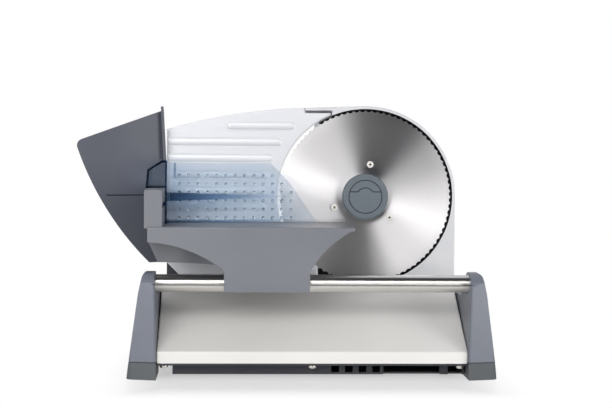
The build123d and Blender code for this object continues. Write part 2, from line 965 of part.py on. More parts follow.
def housing_outline():
    return make_face(
        [
            Line((housing_left, deck_height), (housing_right, deck_height)),
            Line((housing_right, deck_height), (housing_right, blade_z)),
            RadiusArc((housing_right, blade_z), (blade_x, housing_top), -guard_radius),
            Line((blade_x, housing_top), (housing_left, housing_roof(housing_left))),
            Line((housing_left, housing_roof(housing_left)), (housing_left, deck_height)),
        ]
    )


def flange_outline(low, right):
    return shape(
        (flange_left, low),
        (right, low),
        (right, housing_roof(right)),
        (flange_left, housing_roof(flange_left)),
    )


def notch_outline(top):
    return shape(
        (flange_left, notch_bottom), (notch_right, notch_bottom), (notch_right, top), (flange_left, top)
    )


def gear_housing():
    full = housing_outline()
    notched = full - notch_outline(housing_top)
    body = along(full, guard_y, housing_rear)
    ledge = Pos(blade_x, blade_z) * Circle(blade_radius + plate_gap - notch_ledge)
    body = body - along(notch_outline(flange_bottom) - ledge, guard_y, notch_rear)
    flange = along(flange_outline(flange_bottom, notch_right), guard_y, notch_rear)
    web = along(
        flange_outline(flange_bottom - flange_web, housing_left + housing_wall),
        notch_rear,
        notch_rear + housing_wall,
    )
    recess = peg(blade_axis, (guard_y, housing_y), blade_radius + guard_gap)
    left_relief = block(
        (flange_left - guard_radius, notch_right), (guard_y, housing_y), (deck_height, flange_bottom)
    )
    front_room = along(inset(notched, housing_wall), housing_back, notch_rear)
    rear_room = along(
        inset(full, housing_wall), notch_rear + housing_wall, housing_rear
    )
    doorway = along(
        inset(notched, housing_wall * 2), housing_back, housing_rear
    )
    gear_hole = peg(blade_axis, (housing_y, housing_back), gear_tip + gear_room / 2)
    posts = Part() + [peg((x, z), (housing_y, drive_front), boss_radius) for x, z in drive_points]
    bosses = Part() + [peg((x, z), (housing_y, housing_rear), boss_radius) for x, z in cover_points]
    feet = Part() + [
        rod((x, y, deck_height), (x, y, deck_height + housing_screw["length"] + housing_wall), boss_radius)
        for (x, y, _), _ in housing_seats
    ]
    shell = bored(body + flange + web, recess, left_relief, front_room, rear_room, doorway, gear_hole)
    shell = shell + posts + bosses + feet
    return bored(
        shell,
        screw_holes(drive_seats, drive_screw),
        screw_holes(cover_seats, cover_screw),
        screw_holes(housing_seats, housing_screw),
        screw_holes(deflector_seats(), plate_screw),
    )


def motor_cover():
    full = housing_outline()
    outer = along(full, housing_rear, cover_rear)
    outer = fillet(outer.faces().sort_by(Axis.Y)[-1].edges(), cover_round)
    room = along(inset(full, housing_wall), housing_rear, cover_rear - housing_wall)
    room = fillet(room.faces().sort_by(Axis.Y)[-1].edges(), cover_round - housing_wall)
    tubes = Part() + [peg((x, z), (housing_rear, cover_rear), boss_radius) for x, z in cover_points]
    wells = Part() + [
        peg((x, z), (y, cover_rear), cover_screw["head"] + screw_gap) for (x, y, z), _ in cover_seats
    ]
    middle = (housing_left + housing_right) / 2
    vents = Part() + [
        block(
            (
                middle + (i - (cover_vents - 1) / 2) * cover_vent_pitch - cover_vent_width / 2,
                middle + (i - (cover_vents - 1) / 2) * cover_vent_pitch + cover_vent_width / 2,
            ),
            (cover_rear - housing_wall * 2, cover_rear + housing_wall),
            (pinion_z - cover_vent_height / 2, pinion_z + cover_vent_height / 2),
        )
        for i in range(cover_vents)
    ]
    wire_hole = rod(
        (blade_x, housing_rear + cover_depth / 2, deck_height),
        (blade_x, housing_rear + cover_depth / 2, deck_height + housing_wall),
        boss_radius,
    )
    shell = outer - room + (tubes & outer)
    return bored(
        shell, wells, vents, wire_hole, switch_hole(), screw_holes(cover_seats, cover_screw)
    )


def drive_plate():
    inner = inset(housing_outline(), housing_wall + seat_gap)
    low = deck_height + drive_plate_low
    high = deck_height + drive_plate_high
    plate = along(inner, drive_front, drive_rear) & block(
        (housing_left, housing_right), (drive_front, drive_rear), (low, high)
    )
    spindle_hole = peg(blade_axis, (drive_front, drive_rear), spindle_radius + seat_gap)
    nose_hole = peg(pinion_axis, (drive_front, drive_rear), pinion_shaft + drive_plate_thickness + seat_gap)
    passing = Part() + [
        peg((x, z), (drive_front, drive_rear), boss_radius + seat_gap) for x, z in cover_points
    ]
    return bored(
        plate,
        spindle_hole,
        nose_hole,
        passing,
        screw_holes(drive_seats, drive_screw),
        screw_holes(motor_seats, drive_screw),
    )


def deflector_seats():
    x = housing_left - deflector_sheet
    y = housing_y + deflector_depth - boss_radius
    return [((x, y, blade_z + side * deflector_inner / 3), (1, 0, 0)) for side in (-1, 1)]


def slice_deflector():
    start = housing_y - housing_setback / 2
    cone = turned(
        (
            (deflector_outer, start),
            (deflector_outer, start + deflector_sheet),
            (deflector_inner, start + deflector_depth),
            (deflector_inner - deflector_sheet, start + deflector_depth),
            (deflector_outer - deflector_sheet * 2, start),
        ),
        blade_x,
        blade_z,
    )
    left = block(
        (blade_x - guard_radius, housing_left),
        (start, start + deflector_depth),
        (blade_z - deflector_outer / 2, blade_z + deflector_outer / 2),
    )
    tab = block(
        (housing_left - deflector_sheet, housing_left),
        (housing_y + deflector_depth / 2, housing_y + deflector_depth),
        (blade_z - deflector_inner / 2, blade_z + deflector_inner / 2),
    )
    return (cone & left) + tab - screw_holes(deflector_seats(), plate_screw)


# Thickness plate


def plate_outline(clear):
    arc_radius = blade_radius + plate_gap + clear
    tongue_low = blade_z + math.sqrt(arc_radius**2 - (blade_x - plate_tongue_x) ** 2)
    foot_high = blade_z - math.sqrt(arc_radius**2 - (blade_x - plate_foot_x) ** 2)
    foot = (plate_foot_x, foot_high)
    corner = (plate_left, plate_left_height)
    peak = (plate_peak_x, plate_peak)
    tongue = (plate_tongue_x, tongue_low)
    straight = Polyline(
        foot,
        (plate_foot_x, plate_bottom),
        (plate_left + plate_chamfer, plate_bottom),
        (plate_left, plate_bottom + plate_chamfer),
        corner,
    )
    crown = ThreePointArc(corner, (plate_crown_x, plate_crown), peak)
    step = Polyline(peak, (plate_peak_x, plate_tongue), (plate_tongue_x, plate_tongue), tongue)
    mouth = ThreePointArc(tongue, (blade_x - arc_radius, blade_z), foot)
    return make_face(straight.edges() + crown.edges() + step.edges() + mouth.edges())


def rib(index):
    middle = rib_low + index * rib_pitch
    reach = blade_radius + plate_gap + rib_margin
    right = blade_x - math.sqrt(reach**2 - (middle - blade_z) ** 2)
    left = rib_top_start if index == rib_count - 1 else plate_left
    end = rib_height / 2
    bar = Pos((left + right - end) / 2, middle) * Rectangle(right - end - left, rib_height)
    bar = bar + Pos(right - end, middle) * Circle(end)
    if index == rib_count - 1:
        bar = bar + Pos(left, middle) * Circle(end)
    raised = along(bar, plate_y - rib_rise, plate_y)
    return chamfer(raised.faces().sort_by(Axis.Y)[0].edges(), rib_chamfer)


def thickness_plate():
    plate = along(plate_outline(0), plate_y, plate_back)
    bevel = turned(
        (
            (0, plate_y),
            (blade_radius + plate_gap + plate_bevel, plate_y),
            (blade_radius + plate_gap, plate_y + plate_bevel),
            (0, plate_y + plate_bevel),
        ),
        blade_x,
        blade_z,
    )
    plate = plate - bevel
    ribs = Part() + [rib(i) for i in range(rib_count)]
    return plate + ribs - screw_holes(plate_seats, plate_screw)


def plate_carrier():
    back = along(plate_outline(rib_margin), plate_back, carrier_rear) & block(
        (plate_left - opening_margin / 2, carrier_right),
        (plate_back, carrier_rear),
        (plate_bottom, carrier_top),
    )
    wing = block(
        (plate_left, slide_x),
        (plate_back, carrier_rear),
        (plate_bottom + opening_margin, plate_bottom + plate_chamfer),
    )
    stem_low = slide_z - guide_radius
    stem = block(
        (slide_x - stem_width / 2, slide_x + stem_width / 2),
        (plate_back, carrier_rear),
        (stem_low, plate_bottom + plate_chamfer * 2),
    )
    ribs = Part() + [
        block(
            (x - carrier_sheet / 2, x + carrier_sheet / 2),
            (carrier_rear, carrier_rear + carrier_rib),
            (stem_low, carrier_top),
        )
        for x in (slide_x - rod_spread / 2, slide_x + rod_spread / 3)
    ]
    guide_span = (plate_back, plate_back + guide_length)
    guides = Part() + [peg(axis, guide_span, guide_radius) for axis in (*rod_axes, slide_axis)]
    holes = Part() + [peg(axis, guide_span, nut_radius + seat_gap) for axis in (*rod_axes, slide_axis)]
    return bored(back + wing + stem + ribs + guides, holes, screw_holes(plate_seats, plate_screw))


def carrier_bushes():
    span = (plate_back, plate_back + guide_length)
    return Part() + [
        peg(axis, span, nut_radius) - peg(axis, span, rod_radius + running_gap) for axis in rod_axes
    ]


def lead_nut():
    span = (plate_back, plate_back + nut_length)
    return peg(slide_axis, span, nut_radius) - peg(slide_axis, span, rod_radius + running_gap)


def guide_rods():
    return Part() + [peg(axis, (bracket_y, bracket_rear), rod_radius) for axis in rod_axes]


def slide_bracket():
    low = slide_z - guide_radius - opening_margin * 3
    high = deck_height - sheet
    edge = rod_spread + guide_radius + opening_margin
    x = (slide_x - edge, slide_x + edge)
    web = block(x, (bracket_y, bracket_rear), (low, low + bracket_sheet))
    front = block(x, (bracket_y, bracket_y + bracket_sheet), (low, high))
    rear = block(x, (bracket_rear - bracket_sheet, bracket_rear), (low, high))
    front_flange = block(x, (bracket_y - bracket_flange, bracket_y), (high - bracket_sheet, high))
    rear_flange = block(x, (bracket_rear, bracket_rear + bracket_flange), (high - bracket_sheet, high))
    rod_holes = Part() + [
        peg(axis, (bracket_y, bracket_rear), rod_radius + seat_gap) for axis in rod_axes
    ]
    screw_bore = peg(slide_axis, (bracket_y, bracket_rear), rod_radius + running_gap)
    return bored(
        web + front + rear + front_flange + rear_flange,
        rod_holes,
        screw_bore,
        screw_holes(bracket_seats, bracket_screw),
    )


def lead_screw():
    end = base_rear_y + dial_sheet + knob_grip
    return peg(slide_axis, (bracket_y - opening_margin, end), rod_radius)


def screw_collars():
    places = (
        (bracket_rear + slide_gap, bracket_rear + slide_gap + bracket_sheet),
        (bracket_rear - bracket_sheet * 2 - slide_gap, bracket_rear - bracket_sheet - slide_gap),
    )
    return Part() + [
        peg(slide_axis, (low, high), nut_radius)
        - peg(slide_axis, (low, high), rod_radius + seat_gap)
        for low, high in places
    ]


def dial_plate():
    disc = peg(slide_axis, (base_rear_y, base_rear_y + dial_sheet), dial_radius)
    return disc - peg(slide_axis, (base_rear_y, base_rear_y + dial_sheet), rod_radius + free_gap)


def thickness_knob():
    front = base_rear_y + dial_sheet + free_gap
    rear = front + thickness_knob_height
    body = peg(slide_axis, (front, rear), thickness_knob_radius)
    body = fillet(body.edges().group_by(Axis.Y)[-1], knob_edge)
    flutes = Part() + [
        peg((slide_x + reach_x, slide_z + reach_z), (front + knob_edge * 2, rear + knob_edge), flute_radius)
        for reach_x, reach_z in (
            (
                (thickness_knob_radius + flute_radius / 2) * math.cos(2 * math.pi * i / grip_flutes),
                (thickness_knob_radius + flute_radius / 2) * math.sin(2 * math.pi * i / grip_flutes),
            )
            for i in range(grip_flutes)
        )
    ]
    bore = peg(slide_axis, (front, base_rear_y + dial_sheet + knob_grip), rod_radius + seat_gap)
    return body - flutes - bore


# Carriage


def guard_zone(radius, low, high):
    # The upright cylinder whose front follows the hand guard.
    return upward(Pos(guard_centre_x, guard_centre_y) * Circle(radius), low, high)


def skirt_outline():
    left_foot = deck_z - skirt_drop
    left_toe = (skirt_left + skirt_toe, left_foot)
    right_toe = (carriage_right - skirt_sheet, deck_under)
    arm_right_top = (arm_right, rail_z + right_scallop_start)
    arm_left_top = (arm_left, rail_z + left_scallop_start)
    middle_right = (arm_right + right_scallop_bow[0], rail_z + right_scallop_bow[1])
    middle_left = (arm_left - left_scallop_bow[0], rail_z + left_scallop_bow[1])
    return make_face(
        [
            Line((skirt_left, deck_z), (carriage_right, deck_z)),
            Line((carriage_right, deck_z), right_toe),
            ThreePointArc(right_toe, middle_right, arm_right_top),
            Line(arm_right_top, (arm_right, arm_bottom)),
            Line((arm_right, arm_bottom), (arm_left, arm_bottom)),
            Line((arm_left, arm_bottom), arm_left_top),
            ThreePointArc(arm_left_top, middle_left, left_toe),
            Line(left_toe, (skirt_left, left_foot)),
            Line((skirt_left, left_foot), (skirt_left, deck_z)),
        ]
    )


def apron_plan():
    start = Vector(arm_left, carriage_front + skirt_sheet)
    middle = Vector(arm_left - apron_bow[0], carriage_front + apron_bow[1])
    end = Vector(wall_outer + apron_inset, carriage_front + apron_run)
    back = Vector(0, apron_sheet)
    return make_face(
        [
            ThreePointArc(start, middle, end),
            Line(end, end + back),
            ThreePointArc(end + back, middle + back, start + back),
            Line(start + back, start),
        ]
    )


def carriage_body():
    skirt = along(skirt_outline(), carriage_front, carriage_front + skirt_sheet)
    deck = block((skirt_left, carriage_right), (carriage_front, carriage_rear), (deck_under, deck_z))
    tray = skirt + deck
    rim = tray.edges().filter_by(Axis.X).group_by(Axis.Z)[-1].sort_by(Axis.Y)[0]
    tray = fillet(rim, deck_edge)
    tray = tray - block((skirt_left, wall_inner), (guard_rear, carriage_rear), (deck_under, deck_z))
    arm = block((arm_left, arm_right), (carriage_front, arm_rear), (arm_bottom, deck_z - carriage_sheet / 2))
    arm = arm - block(
        (arm_left + arm_rib, arm_right - arm_rib),
        (carriage_front + arm_rib, arm_rear),
        (arm_roof, deck_under),
    )
    wall = block((wall_outer, wall_inner), (wall_front, guard_rear), (deck_z - wall_ledge, wall_top))
    wall = wall + block((skirt_left, wall_inner), (wall_front, guard_rear), (deck_z - skirt_drop, deck_z))
    wall = wall - block(
        (skirt_left + wall_skin, wall_inner - wall_rail),
        (wall_front + wall_skin, guard_rear - wall_block),
        (0, wall_top - wall_skin),
    )
    apron = upward(apron_plan(), apron_bottom, deck_z - carriage_sheet / 2)
    left_foot = deck_z - skirt_drop
    apron = apron - along(
        shape(
            (wall_outer, apron_bottom),
            (wall_outer + apron_inset + apron_slant, apron_bottom),
            (wall_outer + apron_inset, left_foot),
            (wall_outer, left_foot),
        ),
        carriage_front,
        guard_rear,
    )
    strut = block(
        (arm_middle - shoe_width / 2, arm_middle + shoe_width / 2),
        (shoe_y + (shoe_depth - strut_sheet) / 2, shoe_y + (shoe_depth + strut_sheet) / 2),
        (shoe_bottom + shoe_height, deck_z),
    )
    gusset_span = (arm_rear - arm_rib, shoe_y + shoe_depth / 2)
    gussets = Part() + [
        block((x - arm_rib / 2, x + arm_rib / 2), gusset_span, (arm_roof, deck_z))
        for x in (arm_middle - shoe_width / 2 + arm_rib, arm_middle + shoe_width / 2 - arm_rib)
    ]
    channel = rod((arm_left, rail_y, rail_z), (arm_right, rail_y, rail_z), arm_bore)
    gap = block((arm_left, arm_right), (rail_y - arm_bore, rail_y + arm_bore), (0, rail_z))
    groove = block(
        (wall_inner - tongue_depth - slide_gap, wall_inner),
        (wall_front + wall_skin, guard_rear),
        (tongue_z - slide_gap, tongue_z + tongue_height + slide_gap),
    )
    toe = across(
        shape(
            (carriage_front, arm_bottom),
            (carriage_front + arm_toe_depth, arm_bottom),
            (carriage_front, arm_bottom + arm_toe_height),
        ),
        arm_left,
        arm_right,
    )
    body = tray + arm + wall + apron + strut + gussets
    behind = guard_zone(guard_curve + seat_gap, 0, wall_top) & block(
        (wall_outer * 2, wall_inner), (0, guard_rear * 2), (0, wall_top)
    )
    return bored(body, behind, channel, gap, groove, toe, screw_holes(guard_seats, guard_screw))


def rail_sleeves():
    ring = Circle(sleeve_radius) - Circle(rail_radius + running_gap)
    mouth = sleeve_radius * math.cos(math.radians(sleeve_wrap))
    keep = Pos(0, sleeve_radius + mouth) * Rectangle(sleeve_radius * 4, sleeve_radius * 2)
    liner = Pos(rail_y, rail_z) * (ring & keep)
    return Part() + [
        across(liner, low, low + sleeve_length)
        for low in (arm_left + arm_rib, arm_right - arm_rib - sleeve_length)
    ]


def rear_shoe():
    return block(
        (arm_middle - shoe_width / 2, arm_middle + shoe_width / 2),
        (shoe_y, shoe_y + shoe_depth),
        (shoe_bottom, shoe_bottom + shoe_height),
    )


def guard_outline():
    tip_x = wall_inner - guard_tip_reach
    shoulder = (guard_edge_x, saddle_top)
    peak = (guard_edge_x - guard_lean, deck_z + guard_top)
    heel = (guard_edge_x, deck_z + guard_foot)
    foot = (wall_inner - guard_foot_reach, deck_z + guard_foot)
    tip_low = (tip_x, deck_z + guard_tip_low)
    tip_top = (tip_x + guard_lip, deck_z + guard_tip_top)
    waist = (wall_inner - guard_waist_reach, deck_z + guard_waist)
    return make_face(
        [
            Line(peak, tip_top),
            ThreePointArc(tip_top, (tip_x, deck_z + (guard_tip_low + guard_tip_top) / 2), tip_low),
            ThreePointArc(tip_low, waist, foot),
            Line(foot, heel),
            Line(heel, shoulder),
            Line(shoulder, peak),
        ]
    )


def hand_guard():
    low = deck_z + guard_foot
    high = deck_z + guard_top + guard_lip
    wall = guard_zone(guard_curve, low, high) - guard_zone(guard_curve - guard_sheet, low, high)
    wing = wall & along(guard_outline(), 0, guard_rear + guard_sheet * 2)
    crease_low = deck_z + crease_rise
    crease = guard_zone(guard_curve, crease_low, crease_low + crease_height)
    crease = crease - guard_zone(guard_curve - crease_depth, crease_low, crease_low + crease_height)
    crease = crease & block(
        (wall_inner - crease_reach, wall_outer),
        (0, guard_rear),
        (crease_low, crease_low + crease_height),
    )
    lean = guard_lean / (deck_z + guard_top - saddle_top)
    tick_x = guard_edge_x - lean * (high - saddle_top)
    lip = along(
        shape(
            (guard_edge_x - guard_sheet, saddle_top),
            (guard_edge_x, saddle_top),
            (tick_x, high),
            (tick_x - guard_sheet, high),
        ),
        guard_rear - guard_lip_depth,
        guard_rear + guard_sheet / 2,
    )
    return bored(wing + lip, crease, screw_holes(guard_seats, guard_screw))


def food_pusher():
    front = pusher_rear - pusher_sheet
    plate = shape(
        (pusher_left, pusher_base),
        (pusher_right, pusher_base),
        (pusher_bend_x, deck_z + pusher_bend),
        (pusher_top_right, deck_z + pusher_height),
        (pusher_left, deck_z + pusher_height),
    )
    body = along(plate, front, pusher_rear)
    flange_right = pusher_left + pusher_flange_sheet
    flange = block(
        (pusher_left, flange_right),
        (pusher_rear - pusher_flange, pusher_rear),
        (pusher_base, deck_z + pusher_height),
    )
    rib_plan = shape((pusher_left, front - pusher_rib), (pusher_left, front), (pusher_rib_end, front))
    rib_low = deck_z + pusher_rib_rise
    rib_face = shape(
        (pusher_left, rib_low),
        (pusher_rib_end, rib_low + pusher_rib_tall / 2),
        (pusher_left, rib_low + pusher_rib_tall),
    )
    shelf = along(rib_face, front - pusher_rib, front) & upward(rib_plan, rib_low, rib_low + pusher_rib_tall)
    foot = upward(rib_plan, pusher_base, pusher_base + pusher_rib_sheet)
    saddle_face = shape(
        (saddle_left, saddle_bottom),
        (flange_right, saddle_bottom),
        (flange_right, saddle_top),
        (wall_inner - wall_rail / 2, saddle_top),
        (saddle_left + saddle_overhang, saddle_top - saddle_rise / 3),
    )
    saddle_front = pusher_rear - saddle_length
    saddle = along(saddle_face, saddle_front, pusher_rear)
    saddle = saddle - along(inset(saddle_face, pusher_skin), saddle_front + pusher_skin, pusher_rear)
    saddle = saddle - guard_zone(guard_curve + free_gap, saddle_bottom, saddle_top)
    fin = block(
        (pusher_left + pusher_fin_x, pusher_left + pusher_fin_x + pusher_fin_sheet),
        (front - pusher_fin_depth, front),
        (deck_z + pusher_height - pusher_fin_height, deck_z + pusher_height),
    )
    tongue = block(
        (wall_inner - tongue_depth, pusher_left + pusher_flange_sheet / 2),
        (pusher_rear - tongue_length, pusher_rear),
        (tongue_z, tongue_z + tongue_height),
    )
    pimples = Part() + [
        Pos(x, pusher_rear, z) * Rot(-90, 0, 0) * Cone(
            pimple_radius, pimple_radius / 3, pimple_height, align=(Align.CENTER, Align.CENTER, Align.MIN)
        )
        for x, z in pimple_places()
    ]
    return body + flange + shelf + foot + saddle + fin + tongue + pimples


def pimple_places():
    lean = (pusher_right - pusher_bend_x) / (pusher_bend - slide_gap)
    places = []
    for row in range(pimple_rows):
        rise = pimple_margin + row * pimple_pitch_z
        for column in range(pimple_columns):
            x = pusher_left + pimple_start + column * pimple_pitch_x
            if x < pusher_right - rise * lean - pimple_margin:
                places.append((x, pusher_base + rise))
    return places


# Switch and power inlet


def switch_hole():
    return block(
        (housing_right - housing_wall * 2, housing_right + housing_wall),
        (switch_y - switch_width / 2 - seat_gap, switch_y + switch_width / 2 + seat_gap),
        (switch_z - switch_height / 2 - seat_gap, switch_z + switch_height / 2 + seat_gap),
    )


def switch_bezel():
    box = block(
        (housing_right - switch_depth, housing_right + bezel_sheet),
        (switch_y - switch_width / 2, switch_y + switch_width / 2),
        (switch_z - switch_height / 2, switch_z + switch_height / 2),
    )
    rim = block(
        (housing_right, housing_right + bezel_sheet),
        (switch_y - switch_width / 2 - bezel_rim, switch_y + switch_width / 2 + bezel_rim),
        (switch_z - switch_height / 2 - bezel_rim, switch_z + switch_height / 2 + bezel_rim),
    )
    well = block(
        (housing_right - switch_depth + bezel_sheet, housing_right + bezel_sheet * 2),
        (switch_y - switch_width / 2 + bezel_sheet, switch_y + switch_width / 2 - bezel_sheet),
        (switch_z - switch_height / 2 + bezel_sheet, switch_z + switch_height / 2 - bezel_sheet),
    )
    pin_span = (switch_y - switch_width / 2, switch_y + switch_width / 2)
    pin = peg((rocker_x, switch_z), pin_span, bezel_sheet / 2)
    return box + rim - well + pin


def switch_rocker():
    width = switch_width / 2 - bezel_sheet - slide_gap
    reach = switch_height / 2 - bezel_sheet - rocker_room
    side = shape(
        (rocker_x - rocker_back, switch_z - reach * rocker_taper),
        (rocker_x + rocker_low, switch_z - reach),
        (rocker_x + rocker_waist, switch_z),
        (rocker_x + rocker_high, switch_z + reach),
        (rocker_x - rocker_back, switch_z + reach * rocker_taper),
    )
    body = along(side, switch_y - width, switch_y + width)
    pin_span = (switch_y - switch_width, switch_y + switch_width)
    return body - peg((rocker_x, switch_z), pin_span, bezel_sheet / 2 + running_gap)


def power_inlet():
    y = base_rear_y
    body = block(
        (inlet_x - inlet_width / 2, inlet_x + inlet_width / 2),
        (y - inlet_depth, y + bezel_sheet),
        (inlet_z - inlet_height / 2, inlet_z + inlet_height / 2),
    )
    rim = block(
        (inlet_x - inlet_width / 2 - inlet_rim, inlet_x + inlet_width / 2 + inlet_rim),
        (y, y + bezel_sheet),
        (inlet_z - inlet_height / 2 - inlet_rim, inlet_z + inlet_height / 2 + inlet_rim),
    )
    well = block(
        (inlet_x - inlet_width / 2 + bezel_sheet, inlet_x + inlet_width / 2 - bezel_sheet),
        (y - inlet_depth + bezel_rim, y + bezel_sheet * 2),
        (inlet_z - inlet_height / 2 + bezel_sheet, inlet_z + inlet_height / 2 - bezel_sheet),
    )
    pins = Part() + [
        peg((x, inlet_z), (y - inlet_depth, y - inlet_depth / 3), inlet_pin)
        for x in (inlet_x - inlet_pin_reach, inlet_x + inlet_pin_reach)
    ]
    return body + rim - well + pins


def mirrored(part):
    return mirror(part, about=Plane.YZ)


def all_parts():
    form = leg_form()
    leg = right_leg(form)
    front_boot = right_boot(form, 0, boot_length, boot_seats[2])
    rear_boot = right_boot(form, leg_depth - boot_length, leg_depth, boot_seats[3])
    return {
        "right_leg": leg,
        "left_leg": mirrored(leg),
        "right_front_boot": front_boot,
        "left_front_boot": mirrored(front_boot),
        "right_rear_boot": rear_boot,
        "left_rear_boot": mirrored(rear_boot),
        "boot_screws": screws(boot_seats, boot_screw),
        "guide_rail": guide_rail(),
        "rail_plugs": rail_plugs(),
        "rail_screws": screws(rail_seats, rail_screw),
        "base_shell": base_shell(),
        "leg_screws": screws(leg_seats, leg_screw),
        "bottom_pan": bottom_pan(),
        "pan_screws": screws(pan_seats, pan_screw),
        "control_board": control_board(),
        "rear_guide": rear_guide(),
        "guide_screws": screws(guide_seats, guide_screw),
        "blade": blade(),
        "blade_screws": screws(blade_seats, blade_screw),
        "lock_knob": lock_knob(),
        "blade_gear": blade_gear(),
        "blade_bush": blade_bush(),
        "spindle": spindle(),
        "pinion": pinion(),
        "gearhead": gearhead(),
        "motor": motor(),
        "motor_end_cap": motor_end_cap(),
        "motor_screws": screws(motor_seats, drive_screw),
        "gear_housing": gear_housing(),
        "housing_screws": screws(housing_seats, housing_screw),
        "motor_cover": motor_cover(),
        "cover_screws": screws(cover_seats, cover_screw),
        "drive_plate": drive_plate(),
        "drive_screws": screws(drive_seats, drive_screw),
        "slice_deflector": slice_deflector(),
        "deflector_screws": screws(deflector_seats(), plate_screw),
        "thickness_plate": thickness_plate(),
        "plate_carrier": plate_carrier(),
        "plate_screws": screws(plate_seats, plate_screw),
        "carrier_bushes": carrier_bushes(),
        "lead_nut": lead_nut(),
        "guide_rods": guide_rods(),
        "slide_bracket": slide_bracket(),
        "bracket_screws": screws(bracket_seats, bracket_screw),
        "lead_screw": lead_screw(),
        "screw_collars": screw_collars(),
        "dial_plate": dial_plate(),
        "thickness_knob": thickness_knob(),
        "carriage_body": carriage_body(),
        "rail_sleeves": rail_sleeves(),
        "rear_shoe": rear_shoe(),
        "hand_guard": hand_guard(),
        "guard_screws": screws(guard_seats, guard_screw),
        "food_pusher": food_pusher(),
        "switch_bezel": switch_bezel(),
        "switch_rocker": switch_rocker(),
        "power_inlet": power_inlet(),
    }


def footprint_centre(parts):
    box = Compound(children=[Part() + part for part in parts.values()]).bounding_box()
    return Vector((box.min.X + box.max.X) / 2, (box.min.Y + box.max.Y) / 2, box.min.Z)


os.makedirs("parts", exist_ok=True)
parts = all_parts()
origin = footprint_centre(parts)
for name, part in parts.items():
    export_step(Pos(-origin.X, -origin.Y, -origin.Z) * part, f"parts/{name}.step")
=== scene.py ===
import math
import bmesh
import bpy
import numpy as np
from mathutils import Euler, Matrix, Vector


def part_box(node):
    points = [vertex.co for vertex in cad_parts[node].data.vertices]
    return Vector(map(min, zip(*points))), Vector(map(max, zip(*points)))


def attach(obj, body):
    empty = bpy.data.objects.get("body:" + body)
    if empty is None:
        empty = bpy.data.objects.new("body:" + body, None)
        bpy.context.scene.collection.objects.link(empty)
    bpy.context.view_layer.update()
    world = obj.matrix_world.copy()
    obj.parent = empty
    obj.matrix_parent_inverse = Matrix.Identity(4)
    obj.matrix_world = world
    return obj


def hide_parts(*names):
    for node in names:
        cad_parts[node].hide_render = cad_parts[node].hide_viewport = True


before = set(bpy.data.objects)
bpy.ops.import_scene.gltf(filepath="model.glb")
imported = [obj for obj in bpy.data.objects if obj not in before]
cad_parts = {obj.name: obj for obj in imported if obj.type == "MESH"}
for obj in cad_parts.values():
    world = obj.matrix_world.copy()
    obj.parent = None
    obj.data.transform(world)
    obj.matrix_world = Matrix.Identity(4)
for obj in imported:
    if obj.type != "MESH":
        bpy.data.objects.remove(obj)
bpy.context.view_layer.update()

# Base shell: one folded sheet-steel body with a rolled front lip and a sloped apron.
# It is powder coated a warm pale grey after folding, and screwed between the two legs from inside.

FOLD_EASE = 0.0005
COAT_PALE = "#dedcd8"
COAT_SHADE = "#d6d4d0"
COAT_PEEL_MM = 2.4
NOISE_RUN = (0.3, 0.7)
WHOLE_RUN = (0.0, 1.0)
WELD_REACH = 2e-6
FLAT_ANGLE = math.radians(0.4)
STRAIGHT_ON = math.radians(50)
EASE_STEPS = 3
LEAST_EASE = 0.00006
OWN_WAY, SHARED_WAY = 0.9, 0.45
EDGE_PLACES = (0.1, 0.5, 0.9)
LEAST_DEPTH = 1e-7


def linear(code):
    # One sRGB hex colour as linear red, green and blue, with an alpha of 1.
    shares = [int(code[i:i + 2], 16) / 255 for i in (1, 3, 5)]
    return [c / 12.92 if c <= 0.04045 else ((c + 0.055) / 1.055) ** 2.4 for c in shares] + [1.0]


def put(tree, kind, inputs=None, **settings):
    # Adds one node; each input is a plain value or another node's output.
    node = tree.nodes.new(kind)
    for name, value in settings.items():
        setattr(node, name, value)
    for name, value in (inputs or {}).items():
        if isinstance(value, bpy.types.NodeSocket):
            tree.links.new(value, node.inputs[name])
        else:
            node.inputs[name].default_value = value
    return node


def coloured(tree, share, low, high):
    # A colour that runs from one hex value to another over the range that a noise mostly keeps to.
    ramp = put(tree, "ShaderNodeValToRGB", {"Fac": share})
    for stop, position, code in zip(ramp.color_ramp.elements, NOISE_RUN, (low, high)):
        stop.position = position
        stop.color = linear(code)
    return ramp.outputs["Color"]


def ranged(tree, value, run, result, **settings):
    # A value mapped from its run to the range of the result.
    return put(tree, "ShaderNodeMapRange", {
        "Value": value, "From Min": run[0], "From Max": run[1], "To Min": result[0], "To Max": result[1],
    }, **settings).outputs["Result"]


def noise(tree, place, scale, detail, coarse=0.5):
    return put(tree, "ShaderNodeTexNoise", {
        "Vector": place, "Scale": scale, "Detail": detail, "Roughness": coarse}).outputs["Fac"]


def relief(tree, height, depth, strength=1.0):
    # Fine waves that bend the light and leave the shape alone.
    return put(tree, "ShaderNodeBump", {
        "Height": height, "Distance": depth, "Strength": strength}).outputs["Normal"]


def wired(tree, node, **outputs):
    # Links outputs to a node's sockets by their names.
    for socket, output in outputs.items():
        tree.links.new(output, node.inputs[socket.replace("_", " ")])


def new_finish(name, **sockets):
    # A material with its Principled shader, constant sockets set, and its Object coordinates.
    material = bpy.data.materials.new(name)
    material.use_nodes = True
    tree = material.node_tree
    shader = tree.nodes["Principled BSDF"]
    for socket, value in sockets.items():
        shader.inputs[socket.replace("_", " ")].default_value = value
    place = put(tree, "ShaderNodeTexCoord").outputs["Object"]
    return material, tree, shader, place


def grained(name, colours, grain_mm, depth_mm, rough, cloud_mm=45.0, **sockets):
    # A material with colour clouds, a fine surface grain and the roughness that goes with it.
    material, tree, shader, place = new_finish(name, **sockets)
    cloud = noise(tree, place, 1000 / cloud_mm, detail=3.0)
    grain = noise(tree, place, 1000 / grain_mm, detail=2.0)
    wired(tree, shader, Base_Color=coloured(tree, cloud, *colours),
          Roughness=ranged(tree, grain, NOISE_RUN, rough), Normal=relief(tree, grain, depth_mm / 1000))
    return material


